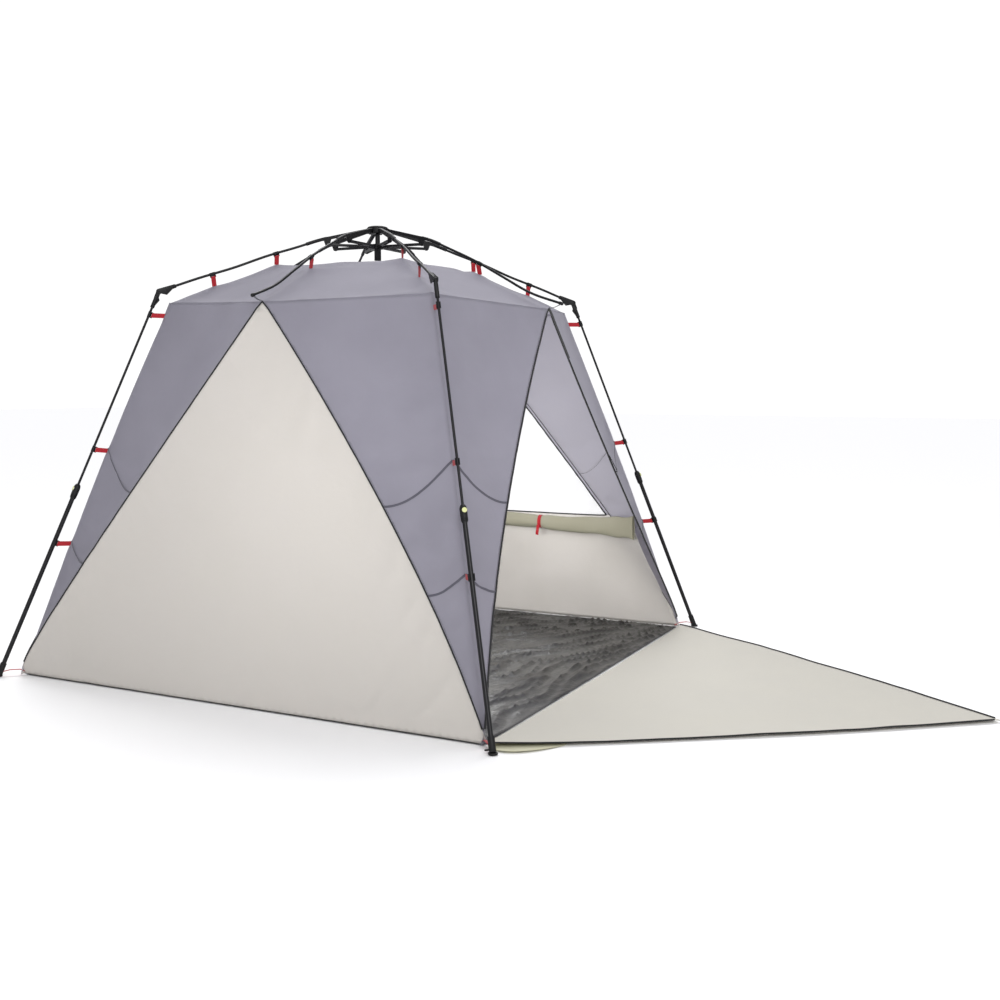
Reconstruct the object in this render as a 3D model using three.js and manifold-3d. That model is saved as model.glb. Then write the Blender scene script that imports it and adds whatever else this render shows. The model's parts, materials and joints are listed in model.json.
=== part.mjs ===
// Quick-pitch beach shelter: a square fabric tent that hangs inside an umbrella frame.
// Eight ribs spread from a hub above the roof. Four of them carry telescopic legs at the corners.
// Millimetres, +Z up. The origin is on the ground, straight under the hub, and the door faces -Y.

import * as THREE from "three";
import { mergeVertices } from "three/addons/utils/BufferGeometryUtils.js";
import Module from "manifold-3d";

const wasm = await Module();
wasm.setup();

// ---------------------------------------------------------------- driving dimensions

const HUB_TOP = 1700;
const ELBOW = { r: 838, z: 1421 };
const FOOT = { r: 1443, z: 0 };
const MID_RIB_TIP = { r: 792, z: 1375 };
const GAP = 0.3;
const CORNERS = ["back_left", "front_left", "front_right", "back_right"];
const CORNER_AZIMUTHS = [135, 225, 315, 45];
const SIDES = ["right", "back", "left", "front"];
const SIDE_AZIMUTHS = [0, 90, 180, 270];

// hub, runner and struts
const PIVOT_RADIUS = 35;
const RIB_PIVOT_Z = 1684;
const RUNNER_Z = 1620;
const BRACKET_RADIUS = 200;
const CROWN_RADIUS = 45;
const SHAFT_RADIUS = 9.5;
const SLEEVE_RADIUS = 13.5;
const PIN_RADIUS = 1.8;
const PIN_CLEARANCE = 0.3;

// poles
const ROD_RADIUS = 4.75;
const UPPER_LEG_RADIUS = 4.5;
const LOWER_LEG_RADIUS = 8;
const LOWER_LEG_BORE = 6.8;
const ROOT_WIDTH = 12;
const ROOT_HEIGHT = 12;
const ROOT_END_RADIUS = 228;

// leg lock
const LOCK_AT = 0.524;
const LOCK_LENGTH = 54;
const LOCK_RADIUS = 12;
const BUTTON_RADIUS = 8.2;
const TELESCOPE_OVERLAP = 90;

// cloth
const CLOTH = 2;
const FLOOR_HALF = 958;
const PANEL_TOP = 1345;
const PANEL_HALF_WIDTH = 975;
const SEAM = 3;
const FLAP_LENGTH = 1368;

// ---------------------------------------------------------------- materials

function material(colour, roughness, metalness = 0) {
  return new THREE.MeshStandardMaterial({ color: colour, roughness, metalness });
}

const blackPlastic = material("#1c1c1f", 0.55);
const blackSteel = material("#232327", 0.4, 0.8);
const blackRod = material("#26262a", 0.45);
const palePlastic = material("#d9dca8", 0.4);
const greyCloth = material("#8d8b97", 0.85);
const whiteCloth = material("#d8d3cc", 0.85);
const creamCloth = material("#cdcbc2", 0.85);
const beigeCloth = material("#bebca9", 0.85);
const windowMesh = material("#eeeeee", 0.9);
const floorCloth = material("#4b4b50", 0.7);

// ---------------------------------------------------------------- solids

function toSolid(geometry) {
  const bare = geometry.index ? geometry.toNonIndexed() : geometry.clone();
  bare.deleteAttribute("normal");
  bare.deleteAttribute("uv");
  const merged = mergeVertices(bare, 1e-3);
  const vertProperties = new Float32Array(merged.attributes.position.array);
  const triVerts = new Uint32Array(merged.index.array);
  return new wasm.Manifold(new wasm.Mesh({ numProp: 3, vertProperties, triVerts }));
}

function toGeometry(solid) {
  const mesh = solid.getMesh();
  const geometry = new THREE.BufferGeometry();
  geometry.setAttribute("position", new THREE.BufferAttribute(new Float32Array(mesh.vertProperties), 3));
  geometry.setIndex(new THREE.BufferAttribute(new Uint32Array(mesh.triVerts), 1));
  geometry.computeVertexNormals();
  return geometry;
}

function join(...solids) {
  return solids.reduce((whole, solid) => whole.add(solid));
}

// A round bar between two points, as a solid.
function bar(from, to, radius, sides = 12) {
  const along = new THREE.Vector3().subVectors(to, from);
  const geometry = new THREE.CylinderGeometry(radius, radius, along.length(), sides);
  const turn = new THREE.Quaternion().setFromUnitVectors(new THREE.Vector3(0, 1, 0), along.clone().normalize());
  geometry.applyQuaternion(turn);
  const middle = new THREE.Vector3().addVectors(from, to).multiplyScalar(0.5);
  geometry.translate(middle.x, middle.y, middle.z);
  return toSolid(geometry);
}

// A point in a rib's own upright plane: r outward, z up, across is sideways.
function inPlane(r, z, across = 0) {
  return new THREE.Vector3(r, across, z);
}

// A flat plate in the rib's plane, from an outline of [r, z] points, centred sideways on `across`.
function plate(outline, width, across = 0) {
  const shape = new THREE.Shape(outline.map(([r, z]) => new THREE.Vector2(r, z)));
  return plateFromShape(shape, width, across);
}

function plateFromShape(shape, width, across = 0) {
  const geometry = new THREE.ExtrudeGeometry(shape, { depth: width, bevelEnabled: false, curveSegments: 4 });
  geometry.rotateX(Math.PI / 2);
  geometry.translate(0, across + width / 2, 0);
  return toSolid(geometry);
}

// A straight link with round ends, in the rib's plane.
function link(from, to, halfHeight, width, across = 0) {
  const along = Math.atan2(to.z - from.z, to.r - from.r);
  const shape = new THREE.Shape();
  shape.absarc(from.r, from.z, halfHeight, along + Math.PI / 2, along + Math.PI * 1.5, false);
  shape.absarc(to.r, to.z, halfHeight, along - Math.PI / 2, along + Math.PI / 2, false);
  return plateFromShape(shape, width, across);
}

// A pin or a hole straight across the rib's plane.
function crossPin(at, radius, length, across = 0) {
  return bar(inPlane(at.r, at.z, across - length / 2), inPlane(at.r, at.z, across + length / 2), radius, 8);
}

function disc(radius, bottom, top, sides = 24) {
  return bar(new THREE.Vector3(0, 0, bottom), new THREE.Vector3(0, 0, top), radius, sides);
}

function turned(profile, sides = 24) {
  const geometry = new THREE.LatheGeometry(profile.map(([r, z]) => new THREE.Vector2(r, z)), sides);
  geometry.rotateX(Math.PI / 2);
  return toSolid(geometry);
}

const tent = new THREE.Group();

function add(parent, name, solid, colour) {
  const mesh = new THREE.Mesh(toGeometry(solid), colour);
  mesh.name = name;
  parent.add(mesh);
  return mesh;
}

function turnedGroup(azimuth) {
  const group = new THREE.Group();
  group.rotation.z = THREE.MathUtils.degToRad(azimuth);
  tent.add(group);
  return group;
}

// ---------------------------------------------------------------- hub and runner

const RIB_AZIMUTHS = [0, 45, 90, 135, 180, 225, 270, 315];

function aroundHub(solid, azimuth) {
  return solid.rotate([0, 0, azimuth]);
}

function crown() {
  let body = disc(CROWN_RADIUS, 1671, 1690);
  const slot = plate([[23, 1660], [60, 1660], [60, 1700], [23, 1700]], ROOT_WIDTH + 1.2);
  const pinHole = crossPin({ r: PIVOT_RADIUS, z: RIB_PIVOT_Z }, PIN_RADIUS + PIN_CLEARANCE, 23);
  for (const azimuth of RIB_AZIMUTHS) {
    body = body.subtract(aroundHub(slot, azimuth));
    body = body.subtract(aroundHub(pinHole, azimuth));
  }
  return body;
}

function cap() {
  const dome = [[0, 1690 + GAP], [40, 1690 + GAP], [41, 1692], [38, 1696], [28, 1699], [12, HUB_TOP], [0, HUB_TOP]];
  return turned(dome);
}

function runner() {
  let body = join(
    disc(26, RUNNER_Z - 9, RUNNER_Z + 9),
    disc(SLEEVE_RADIUS, 1566, RUNNER_Z + 5, 20),
  );
  const lug = link({ r: 24, z: RUNNER_Z }, { r: PIVOT_RADIUS, z: RUNNER_Z }, 6, 12);
  const pinHole = crossPin({ r: PIVOT_RADIUS, z: RUNNER_Z }, PIN_RADIUS + PIN_CLEARANCE, 20);
  for (const azimuth of RIB_AZIMUTHS) {
    body = body.add(aroundHub(lug, azimuth));
    body = body.subtract(aroundHub(pinHole, azimuth));
  }
  return body.subtract(disc(SHAFT_RADIUS + 0.4, 1550, 1650, 20));
}

add(tent, "hub_crown", crown(), blackPlastic);
add(tent, "hub_cap", cap(), blackPlastic);
add(tent, "hub_shaft", disc(SHAFT_RADIUS, 1572, 1671 - GAP, 20), blackSteel);
add(tent, "runner", runner(), blackPlastic);

// ---------------------------------------------------------------- ribs

// The last stretch of a corner rib is straight and aims at the elbow pin, `distance` away from it.
function onRibEnd(distance, above = 0) {
  const slope = Math.atan2(0.37, 1);
  const r = ELBOW.r - Math.cos(slope) * distance + Math.sin(slope) * above;
  const z = ELBOW.z + Math.sin(slope) * distance + Math.cos(slope) * above;
  return [r, z];
}

// Both kinds of rib leave the hub at the same slope, then bend down to their own tips.
const CORNER_RIB = [[228, 1637], [320, 1605], [430, 1569], [560, 1519], onRibEnd(150), onRibEnd(62), onRibEnd(20)];
const MID_RIB = [[228, 1637], [330, 1594], [440, 1543], [550, 1482], [670, 1417], [MID_RIB_TIP.r, MID_RIB_TIP.z]];
const RIB_STEPS = 11;

function bentRod(points, radius) {
  const curve = new THREE.CatmullRomCurve3(points.map(([r, z]) => inPlane(r, z)));
  const section = new THREE.Shape();
  section.absarc(0, 0, radius, 0, Math.PI * 2, false);
  return toSolid(new THREE.ExtrudeGeometry(section, { steps: RIB_STEPS, extrudePath: curve, curveSegments: 5 }));
}

function rib(points) {
  const pivot = { r: PIVOT_RADIUS, z: RIB_PIVOT_Z };
  const rootEnd = { r: ROOT_END_RADIUS, z: points[0][1] };
  const root = link(pivot, rootEnd, ROOT_HEIGHT / 2, ROOT_WIDTH);
  const rod = bentRod([[200, 1645], ...points], ROD_RADIUS);
  const lug = plate([[184, 1645], [193, 1616], [197, 1613], [203, 1613], [207, 1616], [216, 1640]], ROOT_WIDTH - 1);
  return join(root, rod, lug, crossPin(pivot, PIN_RADIUS, 21));
}

// ---------------------------------------------------------------- struts

function strut() {
  const inner = { r: PIVOT_RADIUS, z: RUNNER_Z };
  const outer = { r: BRACKET_RADIUS, z: RUNNER_Z };
  const across = ROOT_WIDTH / 2 + 1.6;
  const sides = [-across, across].map((offset) => link(inner, outer, 4.5, 2.2, offset));
  const web = plate([[62, RUNNER_Z - 3.5], [112, RUNNER_Z - 3.5], [112, RUNNER_Z + 3.5], [62, RUNNER_Z + 3.5]], 15);
  return join(...sides, web, crossPin(inner, PIN_RADIUS, 16));
}

// ---------------------------------------------------------------- legs

const legAlong = new THREE.Vector2(FOOT.r - ELBOW.r, FOOT.z - ELBOW.z);
const LEG_LENGTH = legAlong.length();
legAlong.normalize();

// A point on the leg's axis, `distance` below the elbow pin and `out` to its outer side.
function onLeg(distance, out = 0) {
  return {
    r: ELBOW.r + legAlong.x * distance - legAlong.y * out,
    z: ELBOW.z + legAlong.y * distance + legAlong.x * out,
  };
}

function legBar(from, to, radius, sides = 12) {
  const start = onLeg(from);
  const end = onLeg(to);
  return bar(inPlane(start.r, start.z), inPlane(end.r, end.z), radius, sides);
}

// A socket for the rib, with two triangular cheeks that carry the elbow pin.
function ribEndBracket() {
  const socket = bar(inPlane(...onRibEnd(66)), inPlane(...onRibEnd(14)), 7.6);
  const cheek = new THREE.Shape();
  cheek.moveTo(...onRibEnd(62, 7));
  cheek.lineTo(...onRibEnd(52, -7));
  cheek.lineTo(...onRibEnd(24, -21));
  cheek.lineTo(...onRibEnd(6, -10));
  cheek.absarc(ELBOW.r, ELBOW.z, 10, -Math.PI * 0.6, Math.PI * 0.45, false);
  const cheeks = [-6.5, 6.5].map((offset) => plateFromShape(cheek, 2.8, offset));
  const pin = crossPin(ELBOW, 2.5, 19);
  const bore = bar(inPlane(...onRibEnd(80)), inPlane(...onRibEnd(19)), ROD_RADIUS + 0.4);
  return join(socket, ...cheeks, pin).subtract(bore);
}

function legTopBracket() {
  const knuckleEnd = onLeg(24);
  const knuckle = link(ELBOW, knuckleEnd, 8.5, 9.6);
  const socket = legBar(14, 66, 7.6, 12);
  const web = plate([
    [onLeg(18, -6).r, onLeg(18, -6).z],
    [onLeg(30, -15).r, onLeg(30, -15).z],
    [onLeg(58, -6).r, onLeg(58, -6).z],
  ], 6);
  const pinHole = crossPin(ELBOW, 2.5 + PIN_CLEARANCE, 30);
  const bore = legBar(22, 80, UPPER_LEG_RADIUS + GAP);
  return join(knuckle, socket, web).subtract(pinHole).subtract(bore);
}

const LOCK_MIDDLE = LEG_LENGTH * LOCK_AT;
const LOCK_TOP = LOCK_MIDDLE - LOCK_LENGTH / 2;
const LOCK_BOTTOM = LOCK_MIDDLE + LOCK_LENGTH / 2;
const LOWER_TUBE_TOP = LOCK_BOTTOM - 20;
const BUTTON_MIDDLE = LOCK_TOP + 17;

function lockHousing() {
  const profile = [
    [0, 0], [8.5, 0], [10.6, 3], [LOCK_RADIUS, 11], [LOCK_RADIUS, 34], [11, 46], [9.6, LOCK_LENGTH], [0, LOCK_LENGTH],
  ];
  const geometry = new THREE.LatheGeometry(profile.map(([r, y]) => new THREE.Vector2(r, y)), 16);
  const down = new THREE.Vector3(legAlong.x, 0, legAlong.y);
  geometry.applyQuaternion(new THREE.Quaternion().setFromUnitVectors(new THREE.Vector3(0, 1, 0), down));
  const top = onLeg(LOCK_TOP);
  geometry.translate(top.r, 0, top.z);
  const rodBore = legBar(LOCK_TOP - 5, LOCK_BOTTOM + 5, UPPER_LEG_RADIUS + GAP);
  const tubeBore = legBar(LOWER_TUBE_TOP - GAP, LOCK_BOTTOM + 5, LOWER_LEG_RADIUS + GAP, 16);
  return toSolid(geometry).subtract(rodBore).subtract(tubeBore).subtract(buttonShape(BUTTON_RADIUS + GAP, 5.3, 30));
}

// The round button stands square to the leg and faces outward.
function buttonShape(radius, from, to) {
  const start = onLeg(BUTTON_MIDDLE, from);
  const end = onLeg(BUTTON_MIDDLE, to);
  return bar(inPlane(start.r, start.z), inPlane(end.r, end.z), radius, 16);
}

function lowerTube() {
  return legBar(LOWER_TUBE_TOP, LEG_LENGTH - 20, LOWER_LEG_RADIUS, 16)
    .subtract(legBar(LOWER_TUBE_TOP - 5, LEG_LENGTH - 30, LOWER_LEG_BORE, 16));
}

function foot() {
  const sole = bar(inPlane(FOOT.r, 0), inPlane(FOOT.r, 5), 15, 16);
  const cup = legBar(LEG_LENGTH - 52, LEG_LENGTH - 6, 11, 16);
  const tubeBore = legBar(LEG_LENGTH - 60, LEG_LENGTH - 20 + GAP, LOWER_LEG_RADIUS + GAP, 16);
  const spigot = onLeg(LEG_LENGTH - 14);
  const sidePin = bar(inPlane(spigot.r, spigot.z, -24), inPlane(spigot.r, spigot.z, 0), 3, 12);
  const below = plate([[FOOT.r - 60, -40], [FOOT.r + 60, -40], [FOOT.r + 60, 0], [FOOT.r - 60, 0]], 80);
  return join(sole, cup, sidePin).subtract(tubeBore).subtract(below);
}

// ---------------------------------------------------------------- frame assembly

CORNERS.forEach((name, i) => {
  const corner = turnedGroup(CORNER_AZIMUTHS[i]);
  add(corner, `rib_${name}`, rib(CORNER_RIB), blackRod);
  add(corner, `strut_${name}`, strut(), blackSteel);
  add(corner, `rib_end_${name}`, ribEndBracket(), blackPlastic);
  add(corner, `leg_top_${name}`, legTopBracket(), blackPlastic);
  add(corner, `upper_leg_${name}`, legBar(23, LOCK_MIDDLE + TELESCOPE_OVERLAP, UPPER_LEG_RADIUS), blackRod);
  add(corner, `lock_${name}`, lockHousing(), blackPlastic);
  add(corner, `button_${name}`, buttonShape(BUTTON_RADIUS, 9.8, 14.4), palePlastic);
  add(corner, `lower_leg_${name}`, lowerTube(), blackSteel);
  add(corner, `foot_${name}`, foot(), blackPlastic);
});

SIDES.forEach((name, i) => {
  const side = turnedGroup(SIDE_AZIMUTHS[i]);
  add(side, `rib_${name}`, rib(MID_RIB), blackRod);
  add(side, `strut_${name}`, strut(), blackSteel);
});

// ---------------------------------------------------------------- cloth

// A thin closed sheet: a grid of points, thickened by half the cloth each way along its normals.
function sheet(pointAt, columns, rows, thickness = CLOTH) {
  const grid = [];
  for (let j = 0; j <= rows; j += 1) {
    for (let i = 0; i <= columns; i += 1) {
      grid.push(pointAt(i / columns, j / rows));
    }
  }
  const surface = new THREE.BufferGeometry().setFromPoints(grid);
  const faces = [];
  for (let j = 0; j < rows; j += 1) {
    for (let i = 0; i < columns; i += 1) {
      const a = j * (columns + 1) + i;
      const d = a + columns + 1;
      faces.push(a, a + 1, d + 1, a, d + 1, d);
    }
  }
  surface.setIndex(faces);
  surface.computeVertexNormals();
  const normals = surface.attributes.normal;
  const upper = grid.map((p, k) => new THREE.Vector3().fromBufferAttribute(normals, k).multiplyScalar(thickness / 2).add(p));
  const lower = grid.map((p, k) => new THREE.Vector3().fromBufferAttribute(normals, k).multiplyScalar(-thickness / 2).add(p));
  const count = grid.length;
  const closed = [...faces];
  for (let k = 0; k < faces.length; k += 3) {
    closed.push(faces[k] + count, faces[k + 2] + count, faces[k + 1] + count);
  }
  const rim = [];
  for (let i = 0; i < columns; i += 1) rim.push(i);
  for (let j = 0; j < rows; j += 1) rim.push(j * (columns + 1) + columns);
  for (let i = columns; i > 0; i -= 1) rim.push(rows * (columns + 1) + i);
  for (let j = rows; j > 0; j -= 1) rim.push(j * (columns + 1));
  rim.forEach((a, k) => {
    const b = rim[(k + 1) % rim.length];
    closed.push(a, a + count, b + count, a, b + count, b);
  });
  const geometry = new THREE.BufferGeometry().setFromPoints([...upper, ...lower]);
  geometry.setIndex(closed);
  const solid = toSolid(geometry);
  return solid;
}

// Each side wall leans in and sags a little, and its two edges bow outward.
function wallOut(z) {
  const t = z / PANEL_TOP;
  return 973 - 333 * t + 100 * t * t;
}

function wallHalfWidth(z) {
  return PANEL_HALF_WIDTH * (1 - Math.pow(z / 1382, 1.15));
}

function ridgeOut(z) {
  const t = z / PANEL_TOP;
  return 1372 - 565 * t + 80 * t * (1 - t);
}

const WALL_FOOT = 14;
const WALL_HEAD = PANEL_TOP - 4;

function sideWall() {
  return sheet((u, v) => {
    const z = THREE.MathUtils.lerp(WALL_FOOT, WALL_HEAD, v);
    const half = wallHalfWidth(z) - SEAM;
    return new THREE.Vector3(wallOut(z), THREE.MathUtils.lerp(-half, half, u), z);
  }, 6, 14);
}

// A corner sheet runs from one wall's edge, over the ridge beside the leg, to the next wall's edge.
function cornerSheet() {
  const columns = 6;
  return sheet((u, v) => {
    const low = THREE.MathUtils.lerp(WALL_FOOT, WALL_HEAD - 2, v);
    const across = Math.abs(2 * u - 1);
    const z = low + (1 - across) * 30 * v * v * v;
    const edge = new THREE.Vector2(wallOut(low), wallHalfWidth(low) + SEAM);
    const ridge = ridgeOut(low) * Math.SQRT1_2;
    const x = THREE.MathUtils.lerp(ridge, edge.x, across);
    const y = THREE.MathUtils.lerp(ridge, edge.y, across);
    const point = u < 0.5 ? new THREE.Vector2(x, y) : new THREE.Vector2(y, x);
    const turned = point.rotateAround(new THREE.Vector2(), -Math.PI / 4);
    return new THREE.Vector3(turned.x, turned.y, z);
  }, columns, 14);
}

// The roof dips between the ribs' ties: one profile under the corner ribs, one under the others.
const ROOF_UNDER_CORNER_RIB = [[0, 1550], [150, 1549], [300, 1545], [400, 1533], [660, 1440], [797, 1380]];
const ROOF_UNDER_SIDE_RIB = [[0, 1550], [150, 1543], [300, 1522], [445, 1498], [600, 1425], [738, 1350]];

function heightAlong(profile, share) {
  const r = share * profile[profile.length - 1][0];
  const k = Math.max(1, profile.findIndex(([radius]) => radius >= r - 1e-6));
  const [r0, z0] = profile[k - 1];
  const [r1, z1] = profile[k];
  return [r, THREE.MathUtils.mapLinear(r, r0, r1, z0, z1)];
}

function roof() {
  const rings = 7;
  const around = 32;
  const pointAt = (azimuth, share, lift) => {
    const cornerShare = (1 - Math.cos(4 * azimuth)) / 2;
    const [rCorner, zCorner] = heightAlong(ROOF_UNDER_CORNER_RIB, share);
    const [rSide, zSide] = heightAlong(ROOF_UNDER_SIDE_RIB, share);
    const eighth = Math.abs(((azimuth / (Math.PI / 4)) % 1 + 1) % 1 - 0.5) * 2;
    const straight = THREE.MathUtils.lerp(0.965, 1, eighth * eighth);
    const r = THREE.MathUtils.lerp(rSide, rCorner, cornerShare) * straight;
    const z = THREE.MathUtils.lerp(zSide, zCorner, cornerShare);
    return new THREE.Vector3(r * Math.cos(azimuth), r * Math.sin(azimuth), z + lift);
  };
  const points = [];
  const faces = [];
  for (const lift of [CLOTH / 2, -CLOTH / 2]) {
    points.push(pointAt(0, 0, lift));
    for (let j = 1; j <= rings; j += 1) {
      for (let i = 0; i < around; i += 1) points.push(pointAt((i / around) * Math.PI * 2, j / rings, lift));
    }
  }
  const layer = 1 + rings * around;
  const at = (j, i) => 1 + (j - 1) * around + (i % around);
  for (let i = 0; i < around; i += 1) {
    faces.push(0, at(1, i), at(1, i + 1));
    faces.push(layer, layer + at(1, i + 1), layer + at(1, i));
    for (let j = 1; j < rings; j += 1) {
      const [a, b, c, d] = [at(j, i), at(j + 1, i), at(j + 1, i + 1), at(j, i + 1)];
      faces.push(a, b, c, a, c, d);
      faces.push(layer + a, layer + c, layer + b, layer + a, layer + d, layer + c);
    }
    const [a, b] = [at(rings, i), at(rings, i + 1)];
    faces.push(a, layer + a, layer + b, a, layer + b, b);
  }
  const geometry = new THREE.BufferGeometry().setFromPoints(points);
  geometry.setIndex(faces);
  return toSolid(geometry);
}

// The window fills the upper part of the right wall: its outline is the wall's, drawn in.
const WINDOW_SILL = 500;
const WINDOW_TOP = 1250;
const WINDOW_INSET = 28;

function windowPrism(inset) {
  const steps = 8;
  const outline = [];
  for (let k = 0; k <= steps; k += 1) {
    const z = THREE.MathUtils.lerp(WINDOW_SILL + inset, WINDOW_TOP - inset, k / steps);
    outline.push(new THREE.Vector2(wallHalfWidth(z) - WINDOW_INSET - inset, z));
  }
  const mirrored = [...outline].reverse().map((p) => new THREE.Vector2(-p.x, p.y));
  const shape = new THREE.Shape([...outline, ...mirrored]);
  const geometry = new THREE.ExtrudeGeometry(shape, { depth: 600, bevelEnabled: false });
  geometry.rotateX(Math.PI / 2);
  geometry.rotateZ(Math.PI / 2);
  geometry.translate(500, 0, 0);
  return toSolid(geometry);
}

// The window's cover is zipped off and rolled down to the sill. Below the roll it still hangs inside the
// right wall, and its front edge cuts across the corner to the doorway.
const COVER_TOP = 452;
const COVER_STANDOFF = 14;
const ROLL_RADIUS = 32;
const COVER_BEND = 0.72;

function coverPoint(along, z, inward = 0) {
  const x = wallOut(z) - COVER_STANDOFF - inward;
  const half = wallHalfWidth(z);
  const bendStart = new THREE.Vector2(x, -(half - 240));
  if (along < COVER_BEND) {
    return new THREE.Vector3(x, THREE.MathUtils.lerp(half - 60, bendStart.y, along / COVER_BEND), z);
  }
  const corner = new THREE.Vector2(x, -(half + 30));
  const end = new THREE.Vector2(half - 30 - inward, -(wallOut(z) - 45 - inward));
  const bend = new THREE.QuadraticBezierCurve(bendStart, corner, end);
  const point = bend.getPoint((along - COVER_BEND) / (1 - COVER_BEND));
  return new THREE.Vector3(point.x, point.y, z);
}

function windowCover() {
  const hanging = sheet((u, v) => coverPoint(u, THREE.MathUtils.lerp(14, COVER_TOP, v)), 22, 4);
  const path = [];
  for (let k = 0; k <= 14; k += 1) path.push(coverPoint(k / 14, COVER_TOP, ROLL_RADIUS - 8));
  const section = new THREE.Shape();
  section.absarc(0, 0, ROLL_RADIUS, 0, Math.PI * 2, false);
  const curve = new THREE.CatmullRomCurve3(path);
  const roll = new THREE.ExtrudeGeometry(section, { steps: 22, extrudePath: curve, curveSegments: 6 });
  return hanging.add(toSolid(roll));
}

function doorFlap() {
  const hinge = -FLOOR_HALF - 12;
  const steps = 12;
  const right = [];
  for (let k = 0; k <= steps; k += 1) {
    const share = k / steps;
    right.push(new THREE.Vector2(wallHalfWidth(share * PANEL_TOP) - SEAM - 4, hinge - share * FLAP_LENGTH));
  }
  const left = [...right].reverse().map((p) => new THREE.Vector2(-p.x, p.y));
  const geometry = new THREE.ExtrudeGeometry(new THREE.Shape([...right, ...left]), { depth: CLOTH, bevelEnabled: false });
  return toSolid(geometry);
}

const floor = toSolid(new THREE.BoxGeometry(2 * FLOOR_HALF, 2 * FLOOR_HALF, CLOTH).translate(0, 0, CLOTH / 2));
add(tent, "groundsheet", floor, floorCloth);
add(tent, "roof", roof(), greyCloth);
add(tent, "door_flap", doorFlap(), creamCloth);

const WALLS = { right: 0, back: 90, left: 180 };
for (const [name, azimuth] of Object.entries(WALLS)) {
  const solid = name === "right" ? sideWall().subtract(windowPrism(0)) : sideWall();
  add(turnedGroup(azimuth), `wall_${name}`, solid, whiteCloth);
}
add(tent, "window_mesh", sideWall().intersect(windowPrism(GAP)), windowMesh);
add(tent, "window_cover_roll", windowCover(), beigeCloth);

CORNERS.forEach((name, i) => {
  add(turnedGroup(CORNER_AZIMUTHS[i]), `corner_${name}`, cornerSheet(), greyCloth);
});

export default tent;
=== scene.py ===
# %% [markdown]
# A quick-pitch beach tent. A black umbrella frame stands outside the cloth, and the cloth hangs inside it
# from red webbing straps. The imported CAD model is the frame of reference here: it holds every size, place
# and joint, and this script only makes the surfaces that people see.

# %% Load the frame
import json
import math

import bmesh
import bpy
import numpy as np
from mathutils import Matrix, Vector
from mathutils import noise as mathutils_noise


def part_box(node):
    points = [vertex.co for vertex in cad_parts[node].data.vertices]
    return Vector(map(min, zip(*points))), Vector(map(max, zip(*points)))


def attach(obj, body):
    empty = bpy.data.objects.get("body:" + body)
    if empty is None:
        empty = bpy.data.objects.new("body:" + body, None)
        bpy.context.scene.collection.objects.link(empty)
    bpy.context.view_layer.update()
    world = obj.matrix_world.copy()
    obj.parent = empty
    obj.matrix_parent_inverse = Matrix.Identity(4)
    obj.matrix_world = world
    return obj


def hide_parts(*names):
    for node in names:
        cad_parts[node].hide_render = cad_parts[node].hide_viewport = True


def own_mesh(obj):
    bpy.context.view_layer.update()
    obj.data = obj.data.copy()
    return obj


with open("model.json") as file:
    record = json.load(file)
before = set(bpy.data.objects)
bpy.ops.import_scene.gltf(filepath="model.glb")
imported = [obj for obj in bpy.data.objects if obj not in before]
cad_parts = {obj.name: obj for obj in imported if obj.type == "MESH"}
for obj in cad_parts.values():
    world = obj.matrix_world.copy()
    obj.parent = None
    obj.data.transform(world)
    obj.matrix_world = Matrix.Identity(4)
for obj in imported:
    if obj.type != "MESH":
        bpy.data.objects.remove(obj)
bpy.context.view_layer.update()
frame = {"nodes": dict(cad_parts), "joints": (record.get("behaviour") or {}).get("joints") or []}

JOINTS = {joint["name"]: joint for joint in frame["joints"]}
print("nodes:", len(frame["nodes"]), "joints:", len(JOINTS))

# %% [markdown]
# ## The camera
# The camera stands 4.7 m from the tent's middle and 1.07 m up, and looks at the front left corner. Its lens
# is a normal one on a 36 mm sensor. It is made first, so that every later step can be looked at through it.

# %% The camera
CAMERA_PLACE = (-3.9628, -2.4782, 1.0702)
CAMERA_AZIMUTH = math.radians(-63.967)
CAMERA_ELEVATION = math.radians(5.6175)
CAMERA_ROLL = math.radians(-0.158)
SENSOR_MM = 36.0
LENS_MM = 41.53

camera_data = bpy.data.cameras.new("camera")
camera_data.sensor_width = SENSOR_MM
camera_data.lens = LENS_MM
camera = bpy.data.objects.new("camera", camera_data)
bpy.context.scene.collection.objects.link(camera)
bpy.context.scene.camera = camera
back = Vector((
    math.sin(CAMERA_AZIMUTH) * math.cos(CAMERA_ELEVATION),
    -math.cos(CAMERA_AZIMUTH) * math.cos(CAMERA_ELEVATION),
    math.sin(CAMERA_ELEVATION),
))
camera.location = CAMERA_PLACE
camera.rotation_mode = "QUATERNION"
turn = (-back).to_track_quat("-Z", "Y")
camera.rotation_quaternion = turn @ Matrix.Rotation(-CAMERA_ROLL, 3, "Z").to_quaternion()
print("camera at", CAMERA_PLACE, "lens", LENS_MM, "mm")

# %% [markdown]
# ## Materials
# Every finish is a node tree on a Principled shader. Colours are picked as sRGB hex values, so one function
# turns them to the linear numbers that Blender wants. One function adds a node with its settings and links,
# and three short ones use it for what every finish needs: noise, a mix of two colours, and a bump.

# %% Helpers for materials
MM = 0.001


def linear(hex_colour):
    """An sRGB hex colour as linear red, green, blue and alpha."""
    channels = [int(hex_colour[i:i + 2], 16) / 255 for i in (1, 3, 5)]
    return [c / 12.92 if c <= 0.04045 else ((c + 0.055) / 1.055) ** 2.4 for c in channels] + [1.0]


def node(tree, kind, settings=None, inputs=None):
    """Adds a node to a tree. A link is given as the output socket to read; anything else is a value."""
    made = tree.nodes.new(kind)
    for name, value in (settings or {}).items():
        setattr(made, name, value)
    for name, value in (inputs or {}).items():
        if isinstance(value, bpy.types.NodeSocket):
            tree.links.new(value, made.inputs[name])
        else:
            made.inputs[name].default_value = value
    return made


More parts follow.
